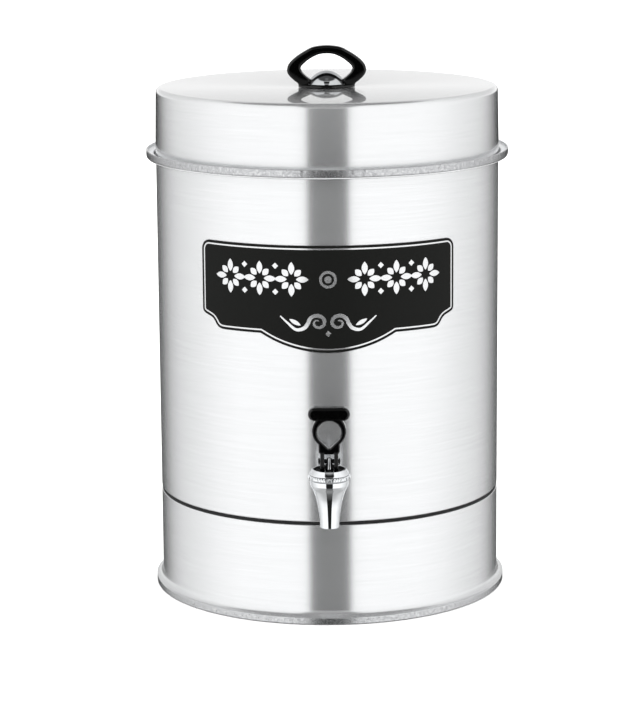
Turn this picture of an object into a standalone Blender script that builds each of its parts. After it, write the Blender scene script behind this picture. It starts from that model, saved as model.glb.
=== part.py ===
"""Cold brew coffee maker: a steel tank on a round stand, with a lid, a filter basket and a lever tap.

All sizes are in metres and +Z is up. The front, with the tap, looks along -Y. The origin lies on the
floor, in the middle of the space that the maker takes up, so the tank's axis stands a little behind it.
Heights are counted upward from piece to piece, so a changed size moves all that stands on it.
"""
import math

import bmesh
import bpy

# Clearances, and how finely round shapes are cut.
fit_gap = 0.0003
cut_overrun = 0.002
round_steps = 48
middle_steps = 32
small_steps = 16
screw_steps = 12
nut_sides = 6
corner_steps = 3
edge_angle = math.radians(35)

# Stand: a spun skirt with a flange at its foot, and a shelf that carries the tank.
tank_radius = 0.130
sheet = 0.0010
base_height = 0.0747
flange_width = 0.0050
flange_rim_bottom = 0.0006
flange_rim_top = 0.0054
foot_ring_width = 0.0032
foot_ring_height = 0.0038
shelf_width = 0.0187
shelf_rim_drop = 0.0087
seam_height = 0.0023
gasket_width = 0.0052
gasket_recess = 0.0008

# Tank: its wall curls in at the foot, round a welded plate, and its floor is a pan set just above.
tank_height = 0.2534
tank_edge_radius = 0.0035
tank_foot_width = 0.0140
floor_rise = 0.008
floor_fillet = 0.0025
floor_rim_drop = 0.005

# Mouth ring: a neck for the lid and the basket, with a gutter and its lip outside.
ring_overhang = 0.0073
ring_corner = 0.003
lip_height = 0.0061
neck_height = 0.0186
neck_clearance = 0.0005
neck_corner = 0.0015

# Screws that hold the tank on the stand.
base_screws = 4
base_screw_inset = 0.0105
base_screw_radius = 0.0023
screw_head_radius = 0.0042
screw_head_height = 0.0028
weld_nut_radius = 0.0046
weld_nut_height = 0.0035
screw_end_above_nut = 0.0007

# Lid and its knob.
lid_sheet = 0.0008
lid_top_inset = 0.0007
lid_rim_overhang = 0.0004
lid_height = 0.0523
lid_fillet = 0.0038
lid_dish = 0.0016
knob_width = 0.0598
knob_height = 0.0314
knob_thickness = 0.0100
knob_edge = 0.0026
foot_width = 0.0430
foot_depth = 0.0270
foot_height = 0.0022
foot_edge = 0.0008
dome_radius = 0.0137
dome_height = 0.0098
dome_sheet = 0.0008
boss_radius = 0.0050
boss_height = 0.0052
knob_screw_radius = 0.0024
knob_screw_head_radius = 0.0045
knob_screw_head_height = 0.0028
knob_screw_reach = 0.0035
knob_washer_radius = 0.0065
knob_washer_height = 0.0010

# The knob's outline from its crown to its leg, as shares of half its width and of its height.
knob_outer_shares = (
    (0.000, 1.000), (0.330, 0.965), (0.545, 0.868), (0.735, 0.755), (0.880, 0.640), (0.967, 0.535),
    (1.000, 0.440), (0.985, 0.345), (0.920, 0.252), (0.812, 0.157), (0.735, 0.100), (0.700, 0.035),
)
knob_inner_shares = (
    (0.000, 0.806), (0.195, 0.785), (0.390, 0.700), (0.540, 0.595), (0.628, 0.510), (0.650, 0.440),
    (0.617, 0.362), (0.520, 0.270), (0.408, 0.178), (0.475, 0.068), (0.475, 0.035),
)
# The chrome dome's profile from its rim to its top, as shares of its radius and height.
dome_shares = (
    (1.000, 0.000), (1.000, 0.040), (0.900, 0.190), (0.780, 0.400), (0.640, 0.600), (0.470, 0.800),
    (0.250, 0.950), (0.000, 1.000),
)

# Filter basket, hung by its rim on the neck.
basket_sheet = 0.0007
basket_inset = 0.0220
basket_depth = 0.170
basket_rim_clearance = 0.0003
basket_collar_drop = 0.012
basket_pan_rim = 0.009
bail_wire_radius = 0.002
bail_leg = 0.012
bail_rise = 0.019
bail_steps = 24

# Label on the tank's front, bent round its wall.
label_thickness = 0.0004
label_half_arc = 0.1018
label_top_drop = 0.0496
label_side_height = 0.0534
label_shelf_drop = 0.0128
label_corner_radius = 0.006
label_corner_width = 0.0218
label_bulge_half = 0.050
label_bulge_drop = 0.0133
label_step = 0.006
# The stepped lower corner, as shares of its width and of its height, outward from the shelf.
label_corner_shares = (
    (0.00, 0.00), (0.27, 0.02), (0.42, 0.25), (0.55, 0.59), (0.78, 0.74), (0.96, 0.88), (1.00, 1.00),
)

# Tap: its port in the wall, and the shank that is clamped through it.
port_height = 0.0334
tap_reach = 0.0320
shank_radius = 0.0078
shank_neck_radius = 0.0058
shank_bore_radius = 0.0036
tap_flange_radius = 0.0125
tap_flange_thickness = 0.0030
tap_washer_radius = 0.0125
tap_washer_thickness = 0.0020
tap_nut_radius = 0.0135
tap_nut_height = 0.0060
shank_end = 0.0020

# Tap body: heights from the middle of the port, and the spout's taper.
spout_drop = 0.0285
spout_bore_radius = 0.0042
spout_radius = 0.0067
seat_drop = 0.0040
chamber_radius = 0.0090
chamber_rise = 0.0040
body_rise = 0.0072
body_radius = 0.0139
body_band_height = 0.0035
socket_radius = 0.0112
# The spout's outline under its band, as shares of the drop from band to mouth and of the radius lost.
spout_shares = (
    (0.00, 0.00), (0.06, 0.10), (0.15, 0.32), (0.36, 0.62), (0.60, 0.83), (0.84, 0.93), (0.975, 1.00),
    (1.00, 1.10),
)

# Collar and bonnet above the body.
collar_radius = 0.0153
collar_height = 0.0034
collar_edge = 0.0010
bonnet_radius = 0.0147
bonnet_mouth_radius = 0.0124
bonnet_height = 0.0040
bonnet_wall = 0.0010
recess_depth = 0.0024
bonnet_floor = 0.0018
bonnet_neck_length = 0.0067

# Stem, seat cup, spring and pin: what the lever lifts.
stem_radius = 0.00285
stem_above_pin = 0.0028
cup_radius = 0.0062
cup_height = 0.0032
cup_floor = 0.0012
spring_radius = 0.0048
spring_wire = 0.0012
pin_radius = 0.0015
pin_head_radius = 0.0022
pin_half_length = 0.0080

# Lever: heights are counted from its pin, and the heel is a cam set forward of the pin.
heel_radius = 0.0075
heel_offset = 0.0025
leg_inner = 0.0035
leg_outer = 0.00645
yoke_half_width = 0.00765
yoke_bottom = 0.0056
yoke_chamfer = 0.0018
lever_depth = 0.0075
lever_edge = 0.0008
loop_centre = 0.0226
loop_radius = 0.0122
loop_hole_centre = 0.0214
loop_hole_radius = 0.0087
loop_hole_tip = 0.0111
bar_centre = 0.03495
bar_half_width = 0.01505
bar_height = 0.0095
bar_depth = 0.0090

# Heights, radii and places that follow from the sizes above.
tank_bottom = base_height + seam_height
tank_inner_radius = tank_radius - sheet
flange_radius = tank_radius + flange_width
base_screw_circle = tank_radius - base_screw_inset
ring_radius = tank_radius + ring_overhang
lid_top_radius = tank_radius - lid_top_inset
lid_rim_radius = tank_radius + lid_rim_overhang
basket_radius = tank_radius - basket_inset
tank_top = tank_bottom + tank_height
gutter_under = tank_top + fit_gap
gutter_floor = gutter_under + sheet
neck_radius = lid_top_radius - lid_sheet - neck_clearance
neck_top = gutter_floor + neck_height
lid_bottom = gutter_floor + fit_gap
lid_top = lid_bottom + lid_height
lid_centre_z = lid_top - lid_dish
basket_top = neck_top + fit_gap + basket_sheet
port_z = tank_bottom + port_height
tap_y = -tank_radius - tap_reach
seat_z = port_z - seat_drop
body_top = port_z + body_rise
collar_bottom = body_top + fit_gap
bonnet_bottom = collar_bottom + collar_height + fit_gap
bonnet_top = bonnet_bottom + bonnet_height
recess_floor = bonnet_top - recess_depth
pin_z = recess_floor + fit_gap + heel_radius
bonnet_neck_radius = socket_radius - fit_gap
axis_y = (-tap_y + collar_radius - ring_radius) / 2

steel_tone = (0.62, 0.62, 0.63)
inner_steel_tone = (0.50, 0.50, 0.51)
chrome_tone = (0.74, 0.75, 0.76)
black_tone = (0.012, 0.012, 0.013)
rubber_tone = (0.025, 0.025, 0.026)
silicone_tone = (0.70, 0.70, 0.66)


def finish(name, tone, roughness, metallic):
    """Return the Principled material of one piece."""
    material = bpy.data.materials.new(name)
    material.use_nodes = True
    shader = material.node_tree.nodes["Principled BSDF"]
    shader.inputs["Base Color"].default_value = (*tone, 1)
    shader.inputs["Roughness"].default_value = roughness
    shader.inputs["Metallic"].default_value = metallic
    return material


def steel(name):
    """Brushed stainless steel, as the photograph shows it outside."""
    return finish(name + "_steel", steel_tone, 0.3, 1)


def chrome(name):
    """Polished chrome plating."""
    return finish(name + "_chrome", chrome_tone, 0.06, 1)


def black(name):
    """Glossy black moulding."""
    return finish(name + "_black", black_tone, 0.12, 0)


def rubber(name):
    """Dull black rubber."""
    return finish(name + "_rubber", rubber_tone, 0.7, 0)


def empty(name, location, parent=None):
    """Add an empty that pieces hang on."""
    holder = bpy.data.objects.new(name, None)
    holder.location = location
    holder.parent = parent
    bpy.context.scene.collection.objects.link(holder)
    return holder


def add_object(name, mesh, material, parent, location=(0, 0, 0), rotation=(0, 0, 0)):
    """Link a mesh as a named piece."""
    piece = bpy.data.objects.new(name, mesh)
    piece.parent = parent
    piece.location = location
    piece.rotation_euler = rotation
    bpy.context.scene.collection.objects.link(piece)
    if material:
        mesh.materials.append(material)
    return piece


def close_mesh(name, mesh_builder, smooth=True):
    """Turn a bmesh into a mesh with outward faces and sharp edges kept sharp."""
    bmesh.ops.recalc_face_normals(mesh_builder, faces=mesh_builder.faces)
    mesh = bpy.data.meshes.new(name)
    mesh_builder.to_mesh(mesh)
    mesh_builder.free()
    if smooth:
        mesh.shade_smooth()
        mesh.set_sharp_from_angle(angle=edge_angle)
    return mesh


def arc(centre, radius, start, end, steps=corner_steps):
    """Points along an arc, with its angles in degrees counted from +r towards +z."""
    points = []
    for index in range(steps + 1):
        angle = math.radians(start + (end - start) * index / steps)
        points.append((centre[0] + radius * math.cos(angle), centre[1] + radius * math.sin(angle)))
    return points


def thicken(line, thickness):
    """Close a sheet's section: the line, and the line moved to its right by the thickness."""
    moved = []
    for index, point in enumerate(line):
        sides = []
        for start, end in ((index - 1, index), (index, index + 1)):
            if start >= 0 and end < len(line):
                across = line[end][0] - line[start][0]
                up = line[end][1] - line[start][1]
                length = math.hypot(across, up)
                sides.append((up / length, -across / length))
        mean = (sum(side[0] for side in sides), sum(side[1] for side in sides))
        length = math.hypot(*mean)
        mean = (mean[0] / length, mean[1] / length)
        reach = thickness / (mean[0] * sides[0][0] + mean[1] * sides[0][1])
        moved.append((point[0] + mean[0] * reach, point[1] + mean[1] * reach))
    return list(line) + moved[::-1]


def turned_mesh(name, section, steps=round_steps):
    """Spin a closed section of (radius, height) points about the Z axis."""
    builder = bmesh.new()
    points = [builder.verts.new((radius, 0, height)) for radius, height in section]
    edges = [builder.edges.new((points[index - 1], points[index])) for index in range(len(points))]
    axis_points = [point for point in points if point.co.x == 0]
    for edge in [edge for edge in edges if edge.verts[0] in axis_points and edge.verts[1] in axis_points]:
        builder.edges.remove(edge)
        edges.remove(edge)
    bmesh.ops.spin(builder, geom=points + edges, axis=(0, 0, 1), cent=(0, 0, 0),
                   angle=math.tau, steps=steps, use_merge=True)
    bmesh.ops.remove_doubles(builder, verts=builder.verts, dist=fit_gap / 30)
    return close_mesh(name, builder)


def turned(name, section, material, parent, steps=round_steps, location=(0, 0, 0), rotation=(0, 0, 0)):
    """Add a turned piece."""
    return add_object(name, turned_mesh(name, section, steps), material, parent, location, rotation)


def ring_section(inner, outer, bottom, top):
    """Square section of a plain ring or washer."""
    return [(outer, top), (outer, bottom), (inner, bottom), (inner, top)]


def prism_mesh(name, outline, depth):
    """Extrude an outline of (x, z) points evenly to both sides along Y."""
    builder = bmesh.new()
    face = builder.faces.new([builder.verts.new((x, -depth / 2, z)) for x, z in outline])
    grown = bmesh.ops.extrude_face_region(builder, geom=[face])["geom"]
    moved = [item for item in grown if isinstance(item, bmesh.types.BMVert)]
    bmesh.ops.translate(builder, verts=moved, vec=(0, depth, 0))
    return close_mesh(name, builder)


def boolean(piece, tool, operation):
    """Cut or join a piece with a helper solid that is left out of the model."""
    tool.hide_render = True
    tool.display_type = "WIRE"
    modifier = piece.modifiers.new(operation.lower() + "_" + tool.name, "BOOLEAN")
    modifier.operation = operation
    modifier.object = tool
    modifier.solver = "EXACT"


def round_edges(piece, width, segments=2):
    """Bevel the sharp edges of a piece."""
    modifier = piece.modifiers.new("round_edges", "BEVEL")
    modifier.width = width
    modifier.segments = segments
    modifier.limit_method = "ANGLE"
    modifier.angle_limit = edge_angle


def rod(name, radius, start, end, parent, location, rotation=(0, 0, 0), steps=small_steps):
    """A plain helper cylinder from one height to another."""
    section = [(0, end), (radius, end), (radius, start), (0, start)]
    return turned(name, section, None, parent, steps, location, rotation)


def screw_places():
    """Centres of the screws between the tank and its stand, turned away from the tap."""
    places = []
    for index in range(base_screws):
        angle = math.tau * (index + 0.5) / base_screws
        places.append((base_screw_circle * math.cos(angle), base_screw_circle * math.sin(angle)))
    return places


def build_stand(axis):
    """Skirt, foot ring, shelf and the gasket under the tank; returns the pieces that screws pass."""
    skirt_line = [(tank_radius, base_height)]
    skirt_line += arc((flange_radius, flange_rim_top + flange_width), flange_width, 180, 270)
    skirt_line.append((flange_radius, flange_rim_bottom))
    turned("base_skirt", thicken(skirt_line, sheet), steel("base_skirt"), axis)

    ring_outer = flange_radius - sheet - fit_gap
    turned("foot_ring", ring_section(ring_outer - foot_ring_width, ring_outer, 0, foot_ring_height),
           rubber("foot_ring"), axis)

    shelf_outer = tank_inner_radius - fit_gap
    shelf_line = [(shelf_outer - shelf_width, base_height), (shelf_outer, base_height)]
    shelf_line.append((shelf_outer, base_height - shelf_rim_drop))
    shelf = turned("base_shelf", thicken(shelf_line, sheet), steel("base_shelf"), axis)

    gasket_outer = tank_radius - gasket_recess
    gasket = ring_section(gasket_outer - gasket_width, gasket_outer,
                          base_height + fit_gap, tank_bottom - fit_gap)
    turned("seam_gasket", gasket, rubber("seam_gasket"), axis)
    return shelf


def build_tank(axis):
    """Wall, foot plate, floor and mouth ring; returns the wall and the foot plate."""
    wall_line = [(tank_radius, tank_top)]
    wall_line += arc((tank_radius - tank_edge_radius, tank_bottom + tank_edge_radius),
                     tank_edge_radius, 0, -90)
    wall = turned("tank_wall", thicken(wall_line, sheet), steel("tank_wall"), axis)

    foot_outer = tank_radius - tank_edge_radius - fit_gap
    foot = turned("tank_foot", ring_section(foot_outer - tank_foot_width, foot_outer, tank_bottom,
                                             tank_bottom + sheet),
                  finish("tank_foot_steel", inner_steel_tone, 0.35, 1), axis)

    floor_radius = tank_inner_radius - fit_gap
    floor_top = tank_bottom + floor_rise
    floor_line = [(0, floor_top)]
    floor_line += arc((floor_radius - floor_fillet, floor_top - floor_fillet), floor_fillet, 90, 0)
    floor_line.append((floor_radius, floor_top - floor_rim_drop))
    turned("tank_floor", thicken(floor_line, sheet), finish("tank_floor_steel", inner_steel_tone, 0.35, 1),
           axis)

    ring_line = [(neck_radius - sheet, neck_top)]
    ring_line += arc((neck_radius - sheet + neck_corner, gutter_under + neck_corner), neck_corner, 180, 270)
    ring_line += arc((ring_radius - ring_corner, gutter_under + ring_corner), ring_corner, 270, 360)
    ring_line.append((ring_radius, gutter_floor + lip_height))
    turned("mouth_ring", thicken(ring_line, -sheet), steel("mouth_ring"), axis)
    return wall, foot


def build_base_screws(axis, shelf, foot):
    """Screws up through the shelf into nuts welded on the tank's foot plate, and their holes."""
    head_top = base_height - sheet - fit_gap
    nut_bottom = tank_bottom + sheet + fit_gap
    nut_top = nut_bottom + weld_nut_height
    screw_top = nut_top + screw_end_above_nut
    head_bottom = head_top - screw_head_height
    screw_section = [(0, screw_top), (base_screw_radius, screw_top), (base_screw_radius, head_top),
                     (screw_head_radius, head_top), (screw_head_radius, head_bottom), (0, head_bottom)]
    hole_radius = base_screw_radius + fit_gap
    nut_bore = hole_radius / math.cos(math.pi / nut_sides)
    for index, (x, y) in enumerate(screw_places(), 1):
        place = (x, y, 0)
        turned(f"base_screw_{index}", screw_section, steel(f"base_screw_{index}"), axis, screw_steps, place)
        turned(f"weld_nut_{index}", ring_section(nut_bore, weld_nut_radius, nut_bottom, nut_top),
               steel(f"weld_nut_{index}"), axis, nut_sides, place)
        hole = rod(f"cut_base_screw_{index}", hole_radius, head_top, nut_bottom + cut_overrun, axis, place,
                   steps=screw_steps)
        boolean(shelf, hole, "DIFFERENCE")
        boolean(foot, hole, "DIFFERENCE")


def label_low(s):
    """Height of the label's lower edge at a distance s along the wall from its middle."""
    side_foot = tank_top - label_top_drop - label_side_height
    shelf = side_foot - label_shelf_drop
    if s <= label_bulge_half:
        radius = (label_bulge_half ** 2 + label_bulge_drop ** 2) / (2 * label_bulge_drop)
        return shelf - label_bulge_drop + radius - math.sqrt(radius ** 2 - s ** 2)
    share = (s - label_half_arc + label_corner_width) / label_corner_width
    for (low, low_height), (high, high_height) in zip(label_corner_shares, label_corner_shares[1:]):
        if low <= share <= high:
            part = (share - low) / (high - low)
            return shelf + label_shelf_drop * (low_height + (high_height - low_height) * part)
    return shelf if share < 0 else side_foot


def label_high(s):
    """Height of the label's upper edge, which has round corners."""
    top = tank_top - label_top_drop
    past = s - (label_half_arc - label_corner_radius)
    if past <= 0:
        return top
    return top - label_corner_radius + math.sqrt(max(label_corner_radius ** 2 - past ** 2, 0))


def build_label(axis):
    """A thin plate bent round the tank's front, wide above and bulging below."""
    places = {0, label_bulge_half, label_half_arc}
    places.update(index * label_step for index in range(int(label_half_arc / label_step) + 1))
    places.update(label_half_arc - label_corner_width * (1 - share) for share, _ in label_corner_shares)
    for index in range(corner_steps):
        turn = math.sin(math.radians(90 * index / corner_steps))
        places.add(label_half_arc - label_corner_radius * (1 - turn))
    half = [place for place in sorted(places) if place <= label_half_arc]
    kept = half[:1]
    for place in half[1:]:
        if place - kept[-1] > fit_gap:
            kept.append(place)
    kept[-1] = label_half_arc
    inner = tank_radius + fit_gap
    builder = bmesh.new()
    columns = []
    for s in [-place for place in kept[:0:-1]] + kept:
        angle = s / tank_radius
        column = []
        for radius, height in ((inner, label_low(abs(s))), (inner + label_thickness, label_low(abs(s))),
                               (inner + label_thickness, label_high(abs(s))), (inner, label_high(abs(s)))):
            column.append(builder.verts.new((radius * math.sin(angle), -radius * math.cos(angle), height)))
        columns.append(column)
    for left, right in zip(columns, columns[1:]):
        for index in range(4):
            after = (index + 1) % 4
            builder.faces.new((left[index], left[after], right[after], right[index]))
    builder.faces.new(columns[0])
    builder.faces.new(columns[-1])
    add_object("front_label", close_mesh("front_label", builder), black("front_label"), axis)


def build_lid(axis):
    """Lid shell with its knob, dome and screw, all on an empty that lifts them."""
    lift = empty("lid_lift", (0, 0, lid_bottom), axis)
    seat = lid_centre_z - lid_bottom
    top = lid_height
    hole = knob_screw_radius + fit_gap
    line = [(hole, seat), (foot_width / 2 + foot_height, seat)]
    line += arc((lid_top_radius - lid_fillet, top - lid_fillet), lid_fillet, 90, 0)
    line.append((lid_rim_radius, 0))
    turned("lid_shell", thicken(line, lid_sheet), steel("lid_shell"), lift)

    foot_z = seat + fit_gap
    build_knob(lift, foot_z)

    head_top = seat - lid_sheet - knob_washer_height - 2 * fit_gap
    washer_bottom = head_top + fit_gap
    turned("knob_washer", ring_section(hole, knob_washer_radius, washer_bottom,
                                       washer_bottom + knob_washer_height),
           steel("knob_washer"), lift, small_steps)
    head_bottom = head_top - knob_screw_head_height
    end = foot_z + foot_height + knob_screw_reach
    screw = [(0, end), (knob_screw_radius, end), (knob_screw_radius, head_top),
             (knob_screw_head_radius, head_top), (knob_screw_head_radius, head_bottom), (0, head_bottom)]
    turned("knob_screw", screw, steel("knob_screw"), lift, small_steps)


def build_knob(lift, foot_z):
    """Black loop moulded in one with its oval foot and a boss, under a chrome dome."""
    outline = [(x * knob_width / 2, z * knob_height) for x, z in knob_outer_shares[::-1]]
    outline += [(-x, z) for x, z in outline[-2::-1]]
    inner = [(x * knob_width / 2, z * knob_height) for x, z in knob_inner_shares[::-1]]
    inner += [(-x, z) for x, z in inner[-2::-1]]
    mesh = prism_mesh("knob_loop", outline + inner[::-1], knob_thickness)
    loop = add_object("knob_loop", mesh, black("knob_loop"), lift, (0, 0, foot_z))
    round_edges(loop, knob_edge, 3)

    foot_section = [(0, foot_height), (foot_depth / 2 - foot_edge, foot_height),
                    (foot_depth / 2, foot_height - foot_edge), (foot_depth / 2, 0), (0, 0)]
    foot = turned("join_knob_foot", foot_section, None, lift, middle_steps, (0, 0, foot_z))
    foot.scale.x = foot_width / foot_depth
    boss = rod("join_knob_boss", boss_radius, foot_height / 2, foot_height + boss_height, lift,
               (0, 0, foot_z))
    bore = rod("cut_knob_bore", knob_screw_radius + fit_gap, -cut_overrun,
               foot_height + knob_screw_reach + fit_gap, lift, (0, 0, foot_z))
    boolean(loop, foot, "UNION")
    boolean(loop, boss, "UNION")
    boolean(loop, bore, "DIFFERENCE")

    dome_bottom = foot_height + fit_gap
    dome_line = [(r * dome_radius, dome_bottom + z * dome_height) for r, z in dome_shares[::-1]]
    turned("knob_dome", thicken_to_axis(dome_line, dome_sheet), chrome("knob_dome"), lift, middle_steps,
           (0, 0, foot_z))


def thicken_to_axis(line, thickness):
    """A sheet's section whose first point lies on the axis, with its inner side brought there too."""
    section = thicken(line, thickness)
    section[-1] = (0, section[-1][1])
    return section


def build_basket(axis):
    """Filter basket: rim on the neck, sieve wall, pan floor and a bail to lift it by."""
    lift = empty("basket_lift", (0, 0, basket_top), axis)
    collar = basket_radius + fit_gap
    rim_outer = neck_radius - basket_rim_clearance
    rim_line = [(rim_outer, 0), (collar, 0), (collar, -basket_collar_drop)]
    turned("basket_rim", thicken(rim_line, -basket_sheet), steel("basket_rim"), lift)
    wall = ring_section(basket_radius - basket_sheet, basket_radius, fit_gap - basket_depth, 0)
    turned("basket_wall", wall, finish("basket_wall_steel", inner_steel_tone, 0.4, 1), lift)
    pan_line = [(0, -basket_depth), (collar, -basket_depth), (collar, basket_pan_rim - basket_depth)]
    turned("basket_floor", thicken_to_axis(pan_line, basket_sheet),
           finish("basket_floor_steel", inner_steel_tone, 0.4, 1), lift)

    half_span = basket_radius - basket_sheet - fit_gap - bail_wire_radius
    points = [(-half_span, -bail_leg)]
    for index in range(bail_steps + 1):
        angle = math.pi * (1 - index / bail_steps)
        points.append((half_span * math.cos(angle), bail_rise * math.sin(angle)))
    points.append((half_span, -bail_leg))
    curve = bpy.data.curves.new("basket_bail", "CURVE")
    curve.dimensions = "3D"
    curve.bevel_depth = bail_wire_radius
    curve.bevel_resolution = 2
    curve.use_fill_caps = True
    spline = curve.splines.new("POLY")
    spline.points.add(len(points) - 1)
    for point, (x, z) in zip(spline.points, points):
        point.co = (x, 0, z, 1)
    curve.materials.append(steel("basket_bail"))
    bail = bpy.data.objects.new("basket_bail", curve)
    bail.parent = lift
    bpy.context.scene.collection.objects.link(bail)


def build_tap(axis, wall):
    """Tap body clamped in the wall, with its collar and bonnet."""
    band_bottom = body_top - body_band_height
    spout_bottom = port_z - spout_drop
    outline = [(0, body_top), (body_radius, body_top), (body_radius, band_bottom)]
    for drop, lost in spout_shares[1:]:
        outline.append((body_radius - (body_radius - spout_radius) * lost,
                        band_bottom - (band_bottom - spout_bottom) * drop))
    outline.append((0, spout_bottom))
    body = turned("tap_body", outline, chrome("tap_body"), axis, middle_steps, (0, tap_y, 0))
    socket_floor = port_z + chamber_rise
    hollow = [(0, body_top + cut_overrun), (socket_radius, body_top + cut_overrun),
              (socket_radius, socket_floor), (chamber_radius, socket_floor), (chamber_radius, seat_z),
              (spout_bore_radius, seat_z), (spout_bore_radius, spout_bottom - cut_overrun),
              (0, spout_bottom - cut_overrun)]
    chamber = turned("cut_tap_chamber", hollow, None, axis, middle_steps, (0, tap_y, 0))

    back = (-math.pi / 2, 0, 0)
    start = (0, tap_y, port_z)
    washer_sag = tank_inner_radius - math.sqrt(tank_inner_radius ** 2 - tap_washer_radius ** 2)
    outer_washer = -tank_radius - fit_gap - tap_washer_thickness
    flange_face = outer_washer - fit_gap
    inner_washer = -tank_inner_radius + washer_sag + fit_gap
    nut_face = inner_washer + tap_washer_thickness + fit_gap
    shank_tip = nut_face + tap_nut_height + shank_end
    flange_start = flange_face - tap_flange_thickness - tap_y
    flange_end = flange_face - tap_y
    shank_start = (chamber_radius + spout_bore_radius) / 2
    shank_section = [(0, shank_tip - tap_y), (shank_radius, shank_tip - tap_y), (shank_radius, flange_end),
                     (tap_flange_radius, flange_end), (tap_flange_radius, flange_start),
                     (shank_neck_radius, flange_start), (shank_neck_radius, shank_start),
                     (0, shank_start)]
    shank = turned("join_tap_shank", shank_section, None, axis, small_steps, start, back)
    bore = rod("cut_tap_shank", shank_bore_radius, chamber_radius / 2, shank_tip - tap_y + cut_overrun,
               axis, start, back)
    boolean(body, shank, "UNION")
    boolean(body, chamber, "DIFFERENCE")
    boolean(body, bore, "DIFFERENCE")

    hole_radius = shank_radius + fit_gap
    port = rod("cut_tap_port", hole_radius, flange_end, shank_tip - tap_y, axis, start, back)
    boolean(wall, port, "DIFFERENCE")
    washer = ring_section(hole_radius, tap_washer_radius, 0, tap_washer_thickness)
    turned("tap_washer_outer", washer, rubber("tap_washer_outer"), axis, small_steps,
           (0, outer_washer, port_z), back)
    turned("tap_washer_inner", washer, rubber("tap_washer_inner"), axis, small_steps,
           (0, inner_washer, port_z), back)
    nut = ring_section(hole_radius / math.cos(math.pi / nut_sides), tap_nut_radius, 0, tap_nut_height)
    turned("tap_nut", nut, chrome("tap_nut"), axis, nut_sides, (0, nut_face, port_z), back)

    inner = socket_radius
    collar = [(inner, collar_height), (collar_radius - collar_edge, collar_height),
              (collar_radius, collar_height - collar_edge), (collar_radius, collar_edge),
              (collar_radius - collar_edge, 0), (inner, 0)]
    turned("tap_collar", collar, chrome("tap_collar"), axis, middle_steps, (0, tap_y, collar_bottom))

    stem_hole = stem_radius + fit_gap
    floor_under = recess_floor - bonnet_floor
    neck_bottom = floor_under - bonnet_neck_length
    neck_inner = chamber_radius
    recess_radius = bonnet_mouth_radius - bonnet_wall
    bonnet = [(recess_radius, bonnet_top), (bonnet_mouth_radius, bonnet_top),
              (bonnet_radius, bonnet_bottom), (bonnet_neck_radius, bonnet_bottom),
              (bonnet_neck_radius, neck_bottom), (neck_inner, neck_bottom), (neck_inner, floor_under),
              (stem_hole, floor_under), (stem_hole, recess_floor), (recess_radius, recess_floor)]
    turned("tap_bonnet", bonnet, chrome("tap_bonnet"), axis, middle_steps, (0, tap_y, 0))


def build_stem(axis):
    """Stem with its seat cup, spring and cross pin, on an empty that lifts them; returns the empty."""
    lift = empty("stem_lift", (0, tap_y, seat_z), axis)
    cup_bottom = fit_gap
    cup_top = cup_bottom + cup_height
    socket = stem_radius + fit_gap
    cup = [(0, cup_bottom + cup_floor), (socket, cup_bottom + cup_floor), (socket, cup_top),
           (cup_radius, cup_top), (cup_radius, cup_bottom), (0, cup_bottom)]
    turned("tap_seat_cup", cup, finish("tap_seat_cup_silicone", silicone_tone, 0.5, 0), lift, small_steps)

    pin_height = pin_z - seat_z
    stem_bottom = cup_bottom + cup_floor + fit_gap
    stem_top = pin_height + stem_above_pin
    stem_line = arc((0, stem_top - stem_radius), stem_radius, 90, 0)
    stem_line[0] = (0, stem_top)
    stem_line += [(stem_radius, stem_bottom), (0, stem_bottom)]
    stem = turned("tap_stem", stem_line, chrome("tap_stem"), lift, small_steps)
    pin_turn = (0, math.pi / 2, 0)
    hole = rod("cut_stem_pin", pin_radius + fit_gap, -stem_radius - cut_overrun, stem_radius + cut_overrun,
               lift, (0, 0, pin_height), pin_turn)
    boolean(stem, hole, "DIFFERENCE")

    spring_bottom = cup_top + fit_gap
    spring_top = recess_floor - bonnet_floor - fit_gap - seat_z
    spring = ring_section(spring_radius - spring_wire, spring_radius, spring_bottom, spring_top)
    turned("tap_spring", spring, steel("tap_spring"), lift, small_steps)

    head_inner = leg_outer + fit_gap
    pin_section = [(0, pin_half_length), (pin_head_radius, pin_half_length), (pin_head_radius, head_inner),
                   (pin_radius, head_inner), (pin_radius, -head_inner), (pin_head_radius, -head_inner),
                   (pin_head_radius, -pin_half_length), (0, -pin_half_length)]
    turned("tap_pin", pin_section, chrome("tap_pin"), lift, small_steps, (0, 0, pin_height), pin_turn)
    return lift


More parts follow.
